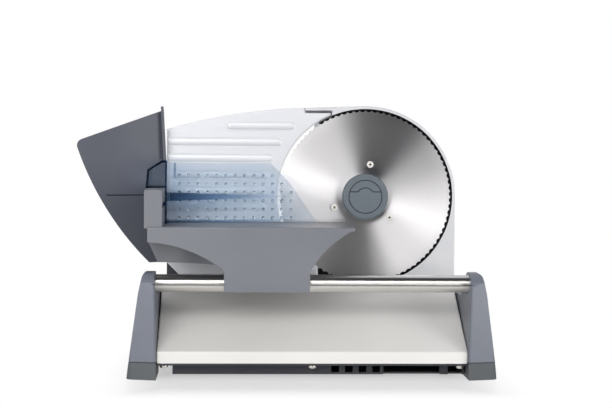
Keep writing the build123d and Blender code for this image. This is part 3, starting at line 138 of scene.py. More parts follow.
def baked(piece):
    # The evaluated shape becomes the piece's own plain mesh, and no modifier stays on it.
    whole = piece.evaluated_get(bpy.context.evaluated_depsgraph_get())
    mesh = bpy.data.meshes.new_from_object(whole)
    piece.modifiers.clear()
    piece.data = mesh
    return piece


def placed(name, data):
    # A mesh, lamp or camera as an object of the scene.
    piece = bpy.data.objects.new(name, data)
    bpy.context.scene.collection.objects.link(piece)
    return piece


def shaped(name, form):
    # A finished bmesh as an object of the scene.
    mesh = bpy.data.meshes.new(name)
    form.to_mesh(mesh)
    form.free()
    return placed(name, mesh)


def rooms(face, sharp):
    # How far a flat face runs from each of its sharp edges, square to it, before it meets another edge.
    # Two sharp edges that face each other share the way between them.
    loops = list(face.loops)
    start = np.array([loop.vert.co for loop in loops])
    end = np.roll(start, -1, axis=0)
    share = np.array([SHARED_WAY if loop.edge in sharp else OWN_WAY for loop in loops])
    found = {}
    for index, loop in enumerate(loops):
        if loop.edge not in sharp:
            continue
        length = np.linalg.norm(end[index] - start[index])
        along = (end[index] - start[index]) / length
        inward = np.cross(face.normal, along)
        along_0, along_1 = (start - start[index]) @ along, (end - start[index]) @ along
        deep_0, deep_1 = (start - start[index]) @ inward, (end - start[index]) @ inward
        found[loop.edge] = math.inf
        for place in [part * length for part in EDGE_PLACES]:
            crossing = (along_0 > place) != (along_1 > place)
            crossing[index] = False
            part = (place - along_0[crossing]) / (along_1 - along_0)[crossing]
            depth = deep_0[crossing] + part * (deep_1 - deep_0)[crossing]
            ahead = depth > LEAST_DEPTH
            if ahead.any():
                found[loop.edge] = min(found[loop.edge], (depth * share[crossing])[ahead].min())
    return found


def edge_lines(form, sharp):
    # Sharp edges that run on from one another, nearly straight, in lists.
    line = {edge: [edge] for edge in sharp}
    for face in form.faces:
        for loop in face.loops:
            first, second = loop.link_loop_prev.edge, loop.edge
            if first in sharp and second in sharp and line[first] is not line[second]:
                before = loop.vert.co - first.other_vert(loop.vert).co
                after = second.other_vert(loop.vert).co - loop.vert.co
                if before.angle(after) < STRAIGHT_ON:
                    line[first].extend(line[second])
                    for edge in line[second]:
                        line[edge] = line[first]
    return list({id(edges): edges for edges in line.values()}.values())


def set_ease(form, width, corner, tight):
    # A line of sharp edges gets the full width where its faces have room for it, and less where they don't.
    # Tight spots stay sharp, up to the given share of a line's length.
    layer = form.edges.layers.float.new("bevel_weight_edge")
    sharp = {edge for edge in form.edges if len(edge.link_faces) == 2
             and edge.calc_face_angle(0.0) > math.radians(corner)}
    corners = {vert for edge in sharp for vert in edge.verts}
    reach = dict.fromkeys(sharp, width)
    for face in form.faces:
        for edge, run in rooms(face, sharp).items():
            reach[edge] = min(reach[edge], run)
    for edge in sharp:
        for vert in edge.verts:
            for near in vert.link_edges:
                if near not in sharp:
                    share = SHARED_WAY if near.other_vert(vert) in corners else OWN_WAY
                    reach[edge] = min(reach[edge], near.calc_length() * share)
    for edges in edge_lines(form, sharp):
        spare = tight * sum(edge.calc_length() for edge in edges)
        for tightest in sorted(edges, key=lambda edge: reach[edge]):
            level = reach[tightest]
            spare -= tightest.calc_length()
            if spare < 0:
                break
        for edge in edges:
            edge[layer] = level / width if reach[edge] >= level > LEAST_EASE else 0.0


def eased(node, width, corner=34, smooth=46, tight=0.0, reshape=None):
    # A copy of a CAD solid, reshaped if asked, with corners rounded as a mould, fold or file leaves them.
    # Edges sharper than the corner angle are rounded; those flatter than the smooth angle are shaded across.
    form = bmesh.new()
    form.from_mesh(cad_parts[node].data)
    bmesh.ops.remove_doubles(form, verts=form.verts, dist=WELD_REACH)
    bmesh.ops.dissolve_limit(form, angle_limit=FLAT_ANGLE, verts=form.verts, edges=form.edges)
    if reshape:
        reshape(form)
    form.normal_update()
    set_ease(form, width, corner, tight)
    piece = shaped(node + "_form", form)
    round_over = piece.modifiers.new("round over", "BEVEL")
    round_over.width = width
    round_over.segments = EASE_STEPS
    round_over.limit_method = "WEIGHT"
    round_over.use_clamp_overlap = False
    round_over.miter_outer = "MITER_ARC"
    baked(piece)
    piece.data.shade_smooth()
    piece.data.set_sharp_from_angle(angle=math.radians(smooth))
    steady = piece.modifiers.new("flat faces stay flat", "WEIGHTED_NORMAL")
    steady.keep_sharp = True
    return baked(piece)


def fitted(piece, material, body, slot, *nodes):
    # The piece gets its finish, rides on its body and stands for its CAD nodes.
    piece.data.materials.clear()
    piece.data.materials.append(material)
    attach(piece, body)
    if nodes:
        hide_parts(*nodes)
    return piece


def carried(material, *nodes):
    # A CAD solid that is right as it is keeps its mesh and takes a finish.
    for name in nodes:
        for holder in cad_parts[name].material_slots:
            holder.material = material


# Powder coat: a thick baked paint film, satin, with the soft waves of orange peel.
# The real peel is about 0.8 mm across and is drawn three times as wide so that it shows.
powder_coat = grained("powder_coated_steel", (COAT_SHADE, COAT_PALE), grain_mm=COAT_PEEL_MM, depth_mm=0.012,
                      rough=(0.34, 0.42), cloud_mm=120.0, IOR=1.5, Coat_Weight=0.15, Coat_Roughness=0.25)
shell = fitted(eased("base_shell", FOLD_EASE), powder_coat, "base", "base_paint", "base_shell")

# Bottom pan and its screws: a black moulded tray with air slots that closes the base from below.
# Three screws with domed heads show along its front edge; every screw set of the slicer is made here
# too, each on the seats of its CAD solid, by one tree that turns every cross by chance.

PAN_EASE = 0.0004
PAN_BLACK = "#292a31"
PAN_SHADE = "#313239"
SCREW_PALE = "#d9d7d2"
SCREW_SHADE = "#cdcac4"
SATIN_PALE = "#eceae4"
SATIN_SHADE = "#e2dfd8"
SHADE_PAINT_BLACK = "#0f1012"
SHADE_PAINT_DARK = "#17181a"
SCREW_SIDES = 28
ROUND_DOME = 0.65
FLAT_DOME = 0.15
DOME_STEPS = (0.35, 0.7, 1.0, 1.25, 1.45)
HEAD_SIDE = 0.95
HEAD_FOOT = 0.08
FOOT_SHARE = 0.97
POINT_START = 0.85
POINT_SHARE = 0.55
CROSS_SHARE = 0.62
CROSS_BLADE = 0.16
CROSS_TAPER = 0.55
CROSS_AT = 0.98
CROSS_TALL = 1.1
CROSS_DEEP = 0.00022
SCREW_CREASE = math.radians(40)
HEAD_RIM = 0.98
END_REACH = 1e-5
SEAM_REACH = 1e-7
SCREW_SEED = 11
# The Random Value node's sockets go by their place, because several share a name.
RANDOM_LEAST, RANDOM_MOST, RANDOM_SEED, RANDOM_FLOAT = 2, 3, 8, 1
GUARD_TURN = math.radians(-65.5)
UP, BACK, FORWARD, RIGHT, LEFT = (0, 0, 1), (0, 1, 0), (0, -1, 0), (1, 0, 0), (-1, 0, 0)

# Moulded polypropylene: dull black with a faint mould grain.
pan_plastic = grained("moulded_black_polypropylene", (PAN_BLACK, PAN_SHADE), grain_mm=1.4, depth_mm=0.02,
                      rough=(0.45, 0.6), IOR=1.49)
fitted(eased("bottom_pan", PAN_EASE), pan_plastic, "base", "pan_black", "bottom_pan")

# Nickel-plated steel: bright, its gloss broken up a little by the plating.
screw_steel = grained("nickel_plated_steel", (SCREW_SHADE, SCREW_PALE), grain_mm=0.9, depth_mm=0.01,
                      rough=(0.14, 0.26), cloud_mm=8.0, Metallic=1.0)
# Satin nickel on the blade's flat heads: the same plating over a blasted surface, so it stays pale.
satin_nickel = grained("satin_nickel_steel", (SATIN_SHADE, SATIN_PALE), grain_mm=0.9, depth_mm=0.015,
                       rough=(0.5, 0.62), cloud_mm=8.0, Metallic=0.6)
# Painted shade: a matt black laid into the recesses, narrow lines and gaps where shade falls on the slicer.
black_shade_paint = grained("painted_shade_matt_black", (SHADE_PAINT_BLACK, SHADE_PAINT_DARK), grain_mm=1.5, depth_mm=0.02,
                        rough=(0.7, 0.85), IOR=1.45)


def screw_form(head, rise, thread, length, dome):
    # A domed cross-head screw along +Z: the seat is at 0, the head below it, the thread above.
    profile = [(0.0, -rise)]
    profile += [(head * math.sin(t), -rise * (1 - dome + dome * math.cos(t))) for t in DOME_STEPS]
    profile += [(head, -rise * (HEAD_SIDE - dome)), (head, -rise * HEAD_FOOT), (head * FOOT_SHARE, 0.0),
                (thread, 0.0), (thread, length * POINT_START), (thread * POINT_SHARE, length), (0.0, length)]
    form = bmesh.new()
    rail = [form.verts.new((r, 0.0, z)) for r, z in profile]
    edges = [form.edges.new(pair) for pair in zip(rail, rail[1:])]
    bmesh.ops.spin(form, geom=rail + edges, cent=(0, 0, 0), axis=UP, angle=2 * math.pi, steps=SCREW_SIDES)
    bmesh.ops.remove_doubles(form, verts=form.verts, dist=SEAM_REACH)
    bmesh.ops.recalc_face_normals(form, faces=form.faces)
    screw = shaped("screw_form", form)
    recess = bmesh.new()
    for turn in (0.0, math.pi / 2):
        arm = bmesh.ops.create_cube(recess, size=1.0)["verts"]
        for corner in arm:
            x, y, z = corner.co
            foot = CROSS_TAPER if z > 0 else 1.0
            corner.co = (x * 2 * head * CROSS_SHARE * foot, y * 2 * head * CROSS_BLADE * foot,
                         -rise * CROSS_AT + z * rise * CROSS_TALL)
        bmesh.ops.rotate(recess, verts=arm, cent=(0, 0, 0), matrix=Euler((0, 0, turn)).to_matrix())
    cutter = shaped("cross_recess", recess)
    cut = screw.modifiers.new("cross recess", "BOOLEAN")
    cut.object = cutter
    cut.solver = "EXACT"
    cut.use_self = True
    baked(screw)
    bpy.data.objects.remove(cutter)
    screw.data.shade_smooth()
    screw.data.set_sharp_from_angle(angle=SCREW_CREASE)
    return screw


def new_tree(name, made, **inputs):
    # A Geometry Nodes tree with inputs of the given kinds and one output, and the outputs of its input node.
    tree = bpy.data.node_groups.new(name, "GeometryNodeTree")
    for label, kind in inputs.items():
        tree.interface.new_socket(label, in_out="INPUT", socket_type="NodeSocket" + kind)
    tree.interface.new_socket(made, in_out="OUTPUT", socket_type="NodeSocketGeometry")
    return tree, put(tree, "NodeGroupInput").outputs


def end_tree(tree, made, geometry, finish):
    # The tree's last two nodes: the finish and the output.
    shown = put(tree, "GeometryNodeSetMaterial", {"Geometry": geometry, "Material": finish})
    put(tree, "NodeGroupOutput", {made: shown.outputs["Geometry"]})


def grown(piece, tree, **values):
    # Runs a tree on a piece, with its inputs set by their identifiers, and keeps the shape that it makes.
    maker = piece.modifiers.new(tree.name, "NODES")
    maker.node_group = tree
    for socket in tree.interface.items_tree:
        if socket.in_out == "INPUT" and socket.name in values:
            maker[socket.identifier] = values[socket.name]
    return baked(piece)


screw_tree, given = new_tree("Screws in their seats", "Screws", Seats="Geometry", Screw="Object",
                             Finish="Material", Seed="Int")
one_screw = put(screw_tree, "GeometryNodeObjectInfo", {"Object": given["Screw"], "As Instance": True})
heading = put(screw_tree, "GeometryNodeInputNamedAttribute", {"Name": "heading"}, data_type="FLOAT_VECTOR")
chance = put(screw_tree, "FunctionNodeRandomValue", {
    RANDOM_LEAST: 0.0, RANDOM_MOST: math.tau, RANDOM_SEED: given["Seed"]}, data_type="FLOAT")
spin = put(screw_tree, "FunctionNodeAxisAngleToRotation", {"Axis": UP, "Angle": chance.outputs[RANDOM_FLOAT]})
aimed = put(screw_tree, "FunctionNodeAlignRotationToVector", {
    "Rotation": spin.outputs["Rotation"], "Vector": heading.outputs["Attribute"]}, axis="Z")
row = put(screw_tree, "GeometryNodeInstanceOnPoints", {
    "Points": given["Seats"], "Instance": one_screw.outputs["Geometry"],
    "Rotation": aimed.outputs["Rotation"]})
solid = put(screw_tree, "GeometryNodeRealizeInstances", {"Geometry": row.outputs["Instances"]})
end_tree(screw_tree, "Screws", solid.outputs["Geometry"], given["Finish"])


def islands(node):
    # The separate solids of a CAD node, each as a list of its points.
    form = bmesh.new()
    form.from_mesh(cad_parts[node].data)
    bmesh.ops.remove_doubles(form, verts=form.verts, dist=WELD_REACH)
    left = set(form.verts)
    groups = []
    for first in form.verts:
        if first not in left:
            continue
        left.remove(first)
        group = [first]
        for vert in group:
            for edge in vert.link_edges:
                other = edge.other_vert(vert)
                if other in left:
                    left.remove(other)
                    group.append(other)
        groups.append([vert.co.copy() for vert in group])
    form.free()
    return groups


rail_middle = (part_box("guide_rail")[0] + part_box("guide_rail")[1]) / 2


def screw_set(node, body, way, mirrored, dome, finish):
    # Measures the CAD screws, whose thread runs the given way, and sets a detailed screw in each seat.
    # In a mirrored set the screws left of the rail's middle run the other way.
    seats = []
    for points in islands(node):
        middle = sum(points, Vector()) / len(points)
        x, y, z = way
        along = Vector((-x if mirrored and middle.x < rail_middle.x else x, y, z)).normalized()
        spans = [(point - middle).dot(along) for point in points]
        reach = [((point - middle) - along * span).length for point, span in zip(points, spans)]
        head = max(reach)
        seat = max(span for span, far in zip(spans, reach) if far > head * HEAD_RIM)
        thread = max(far for span, far in zip(spans, reach) if span > max(spans) - END_REACH)
        sizes = (head, seat - min(spans), thread, max(spans) - seat)
        seats.append((middle + along * seat, along, sizes))
    screw = screw_form(*seats[0][2], dome)
    mesh = bpy.data.meshes.new(node + "_set")
    mesh.from_pydata([seat for seat, _, _ in seats], [], [])
    aims = mesh.attributes.new("heading", "FLOAT_VECTOR", "POINT")
    aims.data.foreach_set("vector", [part for _, along, _ in seats for part in along])
    piece = placed(node + "_set", mesh)
    grown(piece, screw_tree, Screw=screw, Finish=finish, Seed=SCREW_SEED + len(node))
    bpy.data.objects.remove(screw)
    return fitted(piece, finish, body, "screw_steel", node)


def second_finish(piece, material, chosen):
    # A second finish on the faces that the test picks; here it always lays painted shade.
    piece.data.materials.append(material)
    for face in piece.data.polygons:
        if chosen(face):
            face.material_index = 1


for node, body, way, mirrored in (
    ("pan_screws", "base", UP, False),
    ("boot_screws", "base", UP, False),
    ("rail_screws", "base", LEFT, True),
    ("leg_screws", "base", RIGHT, True),
    ("guide_screws", "base", UP, False),
    ("housing_screws", "base", UP, False),
    ("bracket_screws", "base", UP, False),
    ("cover_screws", "base", FORWARD, False),
    ("drive_screws", "base", FORWARD, False),
    ("motor_screws", "base", BACK, False),
    ("deflector_screws", "base", RIGHT, False),
    ("blade_screws", "blade", BACK, False),
    ("plate_screws", "slice_plate", FORWARD, False),
    ("guard_screws", "carriage", (math.cos(GUARD_TURN), math.sin(GUARD_TURN), 0), False),
):
    look = (FLAT_DOME, satin_nickel) if body == "blade" else (ROUND_DOME, screw_steel)
    screws = screw_set(node, body, way, mirrored, *look)
    if body == "blade":
        # The cross recesses of the blade screws get black painted shade.
        head_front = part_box(node)[0].y
        second_finish(screws, black_shade_paint, lambda face: face.center.y - head_front > CROSS_DEEP)

# Legs and boots: two hollow moulded side legs in blue grey plastic with rounded shoulders,
# each standing on a front and a rear boot of soft rubber that is screwed on from below.

LEG_EASE = 0.0015
LEG_TIGHT = 0.15
BOOT_EASE = 0.0005
LEG_GREY = "#6b6f79"
LEG_SHADE = "#656973"
BOOT_GREY = "#565a5d"
BOOT_SHADE = "#505457"

# Moulded ABS: an even satin colour, its spark-eroded grain drawn coarse enough to break the gloss.
leg_plastic = grained("moulded_leg_abs", (LEG_SHADE, LEG_GREY), grain_mm=1.1, depth_mm=0.018,
                      rough=(0.36, 0.46), cloud_mm=70.0, IOR=1.53)
# Thermoplastic rubber: darker and duller than the leg, with no clear highlight.
boot_rubber = grained("moulded_rubber", (BOOT_SHADE, BOOT_GREY), grain_mm=1.6, depth_mm=0.03,
                      rough=(0.58, 0.72), IOR=1.5)
for side in ("right", "left"):
    leg = side + "_leg"
    fitted(eased(leg, LEG_EASE, tight=LEG_TIGHT), leg_plastic, "base", "leg_grey", leg)
    for end in ("front", "rear"):
        boot = f"{side}_{end}_boot"
        fitted(eased(boot, BOOT_EASE), boot_rubber, "base", "boot_grey", boot)

# Guide rail: a chrome-plated steel tube between the tops of the legs, on which the carriage slides.
# Plugs in its ends take the rail screws; a plastic ledge on the deck guides the carriage's rear shoe.

RAIL_PALE = "#dcd9d5"
RAIL_SHADE = "#d8d5d1"
RAIL_RING_MM = 0.7
RING_PER_METRE = 6.0
RAIL_ROUGH = (0.32, 0.34)
CARRIER_DARK = "#2f3237"
CARRIER_SHADE = "#383b41"
LEDGE_EASE = 0.0004

# Chrome plate over centreless-ground tube: bright, with fine rings round it from the grinding, which
# smear each light along the tube. The real rings are finer and are drawn 0.7 mm wide so that they show.
chrome, tree, shader, place = new_finish("chrome_plated_tube", Metallic=1.0, Anisotropic=0.95)
ground = put(tree, "ShaderNodeMapping", {
    "Vector": place, "Scale": (1000 / RAIL_RING_MM, RING_PER_METRE, RING_PER_METRE)})
rings = noise(tree, ground.outputs["Vector"], 1.0, detail=3.0)
lengthwise = put(tree, "ShaderNodeCombineXYZ", {"X": 1.0})
wired(tree, shader, Base_Color=coloured(tree, rings, RAIL_SHADE, RAIL_PALE),
      Roughness=ranged(tree, rings, WHOLE_RUN, RAIL_ROUGH), Tangent=lengthwise.outputs["Vector"])
carried(chrome, "guide_rail")

# Acetal: a slippery dark plastic with a faint waxy gloss.
dark_acetal = grained("moulded_dark_acetal", (CARRIER_DARK, CARRIER_SHADE), grain_mm=1.2, depth_mm=0.015,
                      rough=(0.4, 0.52), IOR=1.48)
carried(dark_acetal, "rail_plugs", "rail_sleeves")
fitted(eased("rear_guide", LEDGE_EASE), dark_acetal, "base", "carrier_dark", "rear_guide")
fitted(eased("rear_shoe", LEDGE_EASE), dark_acetal, "carriage", "carrier_dark", "rear_shoe")

# Gear housing, motor cover and slice deflector: the silver body behind the blade.
# The housing is a die casting with the guard ring round the blade; the cover is a moulding over the motor.

CAST_EASE = 0.0006
CAST_PALE = "#d7d7d9"
CAST_SHADE = "#cdced1"
COVER_PALE = "#cfd0d3"
COVER_SHADE = "#c6c7cb"
RECESS_ROOM = 0.0021
RECESS_SPAN = 0.036
RECESS_DEEP = 0.0115
JOINT_REACH = 0.0012
SIDEWAYS = 0.5

# Silver paint on a casting: fine metal flake under a satin film, so it glitters softly and stays pale.
silver_paint = grained("silver_painted_casting", (CAST_SHADE, CAST_PALE), grain_mm=0.9, depth_mm=0.012,
                       rough=(0.36, 0.5), cloud_mm=30.0, Metallic=0.35, IOR=1.5)
housing = fitted(eased("gear_housing", CAST_EASE), silver_paint, "base", "housing_silver", "gear_housing")
# The recess that the blade turns in gets black painted shade, so that its scallops stand out against the dark
# gap.
blade_low, blade_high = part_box("blade")
blade_axis = Vector(((blade_low.x + blade_high.x) / 2, blade_low.y, (blade_low.z + blade_high.z) / 2))
blade_reach = (blade_high.x - blade_low.x) / 2
ring_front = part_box("gear_housing")[0].y


def off_axis(at):
    return math.hypot(at.x - blade_axis.x, at.z - blade_axis.z)


def painted_shade_recess(face):
    at = face.center
    rim_side = at.x > blade_axis.x - RECESS_SPAN or at.z < blade_axis.z
    return rim_side and off_axis(at) < blade_reach + RECESS_ROOM and 0 < at.y - ring_front < RECESS_DEEP


second_finish(housing, black_shade_paint, painted_shade_recess)
# The shell's two cut ends get the same black painted shade, a dark line where the shell meets the legs.
shell_low, shell_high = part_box("base_shell")
second_finish(shell, black_shade_paint, lambda face: abs(face.normal.x) > SIDEWAYS and (
    face.center.x < shell_low.x + JOINT_REACH or face.center.x > shell_high.x - JOINT_REACH))
# Silver-coloured ABS: the same flake in the plastic, a little duller.
silver_abs = grained("moulded_silver_abs", (COVER_SHADE, COVER_PALE), grain_mm=1.1, depth_mm=0.018,
                     rough=(0.42, 0.55), Metallic=0.2, IOR=1.53)
for node in ("motor_cover", "slice_deflector"):
    fitted(eased(node, CAST_EASE), silver_abs, "base", "cover_silver", node)

# Drive: motor, gearhead, drive plate, spindle and the two gears, hidden in the housing and the cover.
# Steel plate and can, sintered bronze bush and natural nylon gears; the board below runs the motor.

STEEL_PALE = "#b9babd"
STEEL_SHADE = "#a5a7ab"
BRONZE_PALE = "#b08a55"
BRONZE_SHADE = "#9a7544"
NYLON_PALE = "#e6e2d6"
NYLON_SHADE = "#dcd7c8"
CAN_BLACK = "#1d1e21"
CAN_SHADE = "#26282c"
BOARD_GREEN = "#2c5d3c"
BOARD_TRACE = "#3d7a4f"
TRACE_STEP_MM = 12.0
TRACE_SHARE = 0.12
TRACE_DEEP = 0.00005

# Zinc-plated steel: grey metal with the broad crystals of the plating.
zinc_steel = grained("zinc_plated_steel", (STEEL_SHADE, STEEL_PALE), grain_mm=2.5, depth_mm=0.01,
                     rough=(0.3, 0.42), cloud_mm=9.0, Metallic=1.0)
carried(zinc_steel, "drive_plate", "spindle", "guide_rods", "slide_bracket", "lead_screw", "screw_collars")
# Sintered bronze: a dull yellow metal with open pores.
bronze = grained("sintered_bronze", (BRONZE_SHADE, BRONZE_PALE), grain_mm=0.8, depth_mm=0.03,
                 rough=(0.4, 0.55), Metallic=1.0)
carried(bronze, "blade_bush", "carrier_bushes", "lead_nut")
# Natural nylon: off-white and waxy.
nylon = grained("moulded_natural_nylon", (NYLON_SHADE, NYLON_PALE), grain_mm=1.0, depth_mm=0.015,
                rough=(0.38, 0.5), IOR=1.53, Subsurface_Weight=0.1)
carried(nylon, "blade_gear", "pinion", "gearhead")
# Enamelled steel can: black, half glossy.
can_enamel = grained("black_enamelled_can", (CAN_BLACK, CAN_SHADE), grain_mm=1.5, depth_mm=0.012,
                     rough=(0.28, 0.4), IOR=1.5)
carried(can_enamel, "motor", "motor_end_cap")
# Circuit board: green lacquer over copper tracks that run in straight steps.
lacquer, tree, shader, place = new_finish("green_board_lacquer", IOR=1.5, Roughness=0.35)
tracks = put(tree, "ShaderNodeTexBrick", {
    "Vector": place, "Scale": 1000 / TRACE_STEP_MM, "Mortar Size": TRACE_SHARE,
    "Color1": linear(BOARD_GREEN), "Color2": linear(BOARD_GREEN), "Mortar": linear(BOARD_TRACE)}).outputs
wired(tree, shader, Base_Color=tracks["Color"], Normal=relief(tree, tracks["Fac"], TRACE_DEEP))
carried(lacquer, "control_board")

# Blade: a dished stainless disc with 88 ground scallops round its rim, 178 mm across.
# One scallop's sector is built, then set round the axis and joined; three screws hold it to its gear.

SCALLOPS = 88
SCALLOP_STEPS = 6
SCALLOP_DEPTH = 0.0017
TIP_REACH = 0.0006
BLADE_BORE = 0.009
BLADE_LAND = 0.062
BLADE_SHOULDER = 0.078
BLADE_SHEET = 0.0012
BLADE_DISH = 0.003
BLADE_EDGE = 0.00035
BLADE_CREASE = math.radians(12)
STEEL_WHITE = "#e6e4e4"
STEEL_RING = "#dad8da"
RING_MM = 0.8
RING_COARSE = 0.7
GRIND_ROUGH = (0.36, 0.4)


def vector_maths(tree, operation, *values, result="Vector"):
    return put(tree, "ShaderNodeVectorMath", dict(enumerate(values)), operation=operation).outputs[result]


def maths(tree, operation, *values):
    return put(tree, "ShaderNodeMath", dict(enumerate(values)), operation=operation).outputs["Value"]


# Ground stainless steel: fine rings round the axis stretch each light into a fan across the disc.
# The real rings are a tenth of a millimetre apart and are drawn wider so that they show.
ground_steel, tree, shader, place = new_finish("ring_ground_stainless", Metallic=1.0, Anisotropic=1.0)
from_axis = vector_maths(tree, "SUBTRACT", place, tuple(blade_axis))
flat = vector_maths(tree, "MULTIPLY", from_axis, (1, 0, 1))
radius = vector_maths(tree, "LENGTH", flat, result="Value")
across_rings = vector_maths(tree, "NORMALIZE", flat)
ring_place = put(tree, "ShaderNodeCombineXYZ", {"X": radius})
rings = noise(tree, ring_place.outputs["Vector"], 1000 / RING_MM, detail=4.0, coarse=RING_COARSE)
wired(tree, shader, Base_Color=coloured(tree, rings, STEEL_RING, STEEL_WHITE),
      Roughness=ranged(tree, rings, WHOLE_RUN, GRIND_ROUGH), Tangent=across_rings)

form = bmesh.new()
rows = []
for step in range(SCALLOP_STEPS + 1):
    share = step / SCALLOP_STEPS
    tip = blade_reach + TIP_REACH - SCALLOP_DEPTH * (1 - (2 * share - 1) ** 2)
    wear = (blade_reach + TIP_REACH - tip) / (blade_reach - BLADE_SHOULDER)
    front = BLADE_EDGE * wear
    rear = BLADE_EDGE + BLADE_SHEET * wear
    profile = [
        (BLADE_BORE, BLADE_DISH), (BLADE_LAND, BLADE_DISH), (BLADE_SHOULDER, BLADE_EDGE), (tip, front),
        (tip, rear), (BLADE_SHOULDER, BLADE_EDGE + BLADE_SHEET), (BLADE_LAND, BLADE_DISH + BLADE_SHEET),
        (BLADE_BORE, BLADE_DISH + BLADE_SHEET),
    ]
    angle = 2 * math.pi * share / SCALLOPS
    rows.append([form.verts.new((r * math.cos(angle), y, r * math.sin(angle))) for r, y in profile])
for here, there in zip(rows, rows[1:]):
    for i in range(len(here)):
        j = (i + 1) % len(here)
        form.faces.new((here[i], here[j], there[j], there[i]))
sector = shaped("blade_sector", form)
blade_tree, given = new_tree("Scallops round the blade", "Blade", Start="Geometry", Sector="Object",
                             Scallops="Int", Finish="Material")
one_sector = put(blade_tree, "GeometryNodeObjectInfo", {"Object": given["Sector"], "As Instance": True})
starts = put(blade_tree, "GeometryNodePoints", {"Count": given["Scallops"], "Position": tuple(blade_axis)})
number = put(blade_tree, "GeometryNodeInputIndex").outputs["Index"]
pitch = maths(blade_tree, "DIVIDE", -math.tau, given["Scallops"])
turn = maths(blade_tree, "MULTIPLY", number, pitch)
about = put(blade_tree, "FunctionNodeAxisAngleToRotation", {"Axis": BACK, "Angle": turn})
ring = put(blade_tree, "GeometryNodeInstanceOnPoints", {
    "Points": starts.outputs["Points"], "Instance": one_sector.outputs["Geometry"],
    "Rotation": about.outputs["Rotation"]})
disc = put(blade_tree, "GeometryNodeRealizeInstances", {"Geometry": ring.outputs["Instances"]})
joined = put(blade_tree, "GeometryNodeMergeByDistance", {
    "Geometry": disc.outputs["Geometry"], "Distance": WELD_REACH})
end_tree(blade_tree, "Blade", joined.outputs["Geometry"], given["Finish"])
disc_piece = placed("scalloped_disc", bpy.data.meshes.new("scalloped_disc"))
grown(disc_piece, blade_tree, Sector=sector, Scallops=SCALLOPS, Finish=ground_steel)
bpy.data.objects.remove(sector)
form = bmesh.new()
form.from_mesh(disc_piece.data)
bmesh.ops.recalc_face_normals(form, faces=form.faces)
form.to_mesh(disc_piece.data)
form.free()
disc_piece.data.shade_smooth()
disc_piece.data.set_sharp_from_angle(angle=BLADE_CREASE)
fitted(disc_piece, ground_steel, "blade", "blade_steel", "blade")

# Lock knob: a round moulded cap in blue grey plastic with a half-moon finger recess.
# It sits on the blade's hub and is turned a quarter to free the blade.

KNOB_EASE = 0.0002
LINE_REACH = 0.0178
LINE_DEEP = (0.00105, 0.0019)
KNOB_GREY = "#5f686f"
KNOB_SHADE = "#596269"

# Moulded ABS: a fine matt grain that keeps the knob even from every side.
knob_plastic = grained("moulded_knob_abs", (KNOB_SHADE, KNOB_GREY), grain_mm=0.9, depth_mm=0.02,
                       rough=(0.42, 0.54), cloud_mm=25.0, IOR=1.53)
lock = fitted(eased("lock_knob", KNOB_EASE), knob_plastic, "lock_knob", "knob_grey", "lock_knob")
knob_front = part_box("lock_knob")[0].y


def painted_shade_line(face):
    # The narrow lines round the half-moon lie deeper than its floor; they get black painted shade.
    depth = face.center.y - knob_front
    return off_axis(face.center) < LINE_REACH and LINE_DEEP[0] < depth < LINE_DEEP[1]


second_finish(lock, black_shade_paint, painted_shade_line)

# Thickness plate: the ribbed silver plate that the food rests against, cut round the blade.
# It is a pressed aluminium sheet screwed to a dark carrier that slides on two rods under the deck.

PLATE_EASE = 0.0006
PLATE_CORNER = 60
PLATE_SMOOTH = 38
RIB_HEIGHT = 0.0012
RIB_TOP_REACH = 1e-5
RIB_BACK = ((0, 0.0002), (0.0005, 0.0006), (0.0006, 0.00085), (0.0008, 0.00103), (0.0009, 0.00115),
            (0.0007, 0.0012))
CARRIER_EASE = 0.0005
PLATE_PALE = "#dbdcdf"
PLATE_SHADE = "#d5d6da"
GRAIN_MM = 1.0
GRAIN_PER_METRE = 12.0
GRAIN_DEEP = 0.00001
SATIN_ROUGH = (0.36, 0.5)

# Satin anodised aluminium: pale and soft, with a fine grain along the ribs from the rolling.
anodised, tree, shader, place = new_finish("satin_anodised_aluminium", Metallic=0.25)
rolled = put(tree, "ShaderNodeMapping", {
    "Vector": place, "Scale": (GRAIN_PER_METRE, 1000 / GRAIN_MM, 1000 / GRAIN_MM)})
fibres = noise(tree, rolled.outputs["Vector"], 1.0, detail=4.0)
wired(tree, shader, Base_Color=coloured(tree, fibres, PLATE_SHADE, PLATE_PALE),
      Roughness=ranged(tree, fibres, WHOLE_RUN, SATIN_ROUGH), Normal=relief(tree, fibres, GRAIN_DEEP))
plate_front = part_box("thickness_plate")[0].y


def round_ribs(form):
    # Each rib's flat top is set in step by step and raised to a rounded back, as a press leaves it.
    tops = [face for face in form.faces if abs(face.calc_center_median().y - plate_front) < RIB_TOP_REACH]
    for top in tops:
        for inset, rise in RIB_BACK:
            if inset:
                bmesh.ops.inset_region(form, faces=[top], thickness=inset, use_even_offset=True)
            for vert in top.verts:
                vert.co.y = plate_front + RIB_HEIGHT - rise


ribbed = eased("thickness_plate", PLATE_EASE, PLATE_CORNER, PLATE_SMOOTH, reshape=round_ribs)
fitted(ribbed, anodised, "slice_plate", "plate_silver", "thickness_plate")
fitted(eased("plate_carrier", CARRIER_EASE), dark_acetal, "slice_plate", "carrier_dark", "plate_carrier")

# Thickness knob and dial: the fluted knob at the back that drives the plate, in a dark ring on the shell.
# Dark marks are printed round the ring and a white one on the knob; a tree sets them along the dial's sweep.

MARKS = 16
MARK_SWEEP = math.radians(300)
MARK_GAP = 0.0015
MARK_WIDE = 0.0007
MARK_LONG = 0.0026
MARK_THICK = 0.00012
END_STEPS = (0.0, 0.8, math.pi / 2, 2.34, math.pi)
LONG_EVERY = 5
LONG_SHARE = 1.6
POINTER_LONG = 0.006
INK_GREY = "#34363b"
INK_SHADE = "#3c3e43"
POINTER_WHITE = "#eceae6"
POINTER_SHADE = "#e2e0dc"

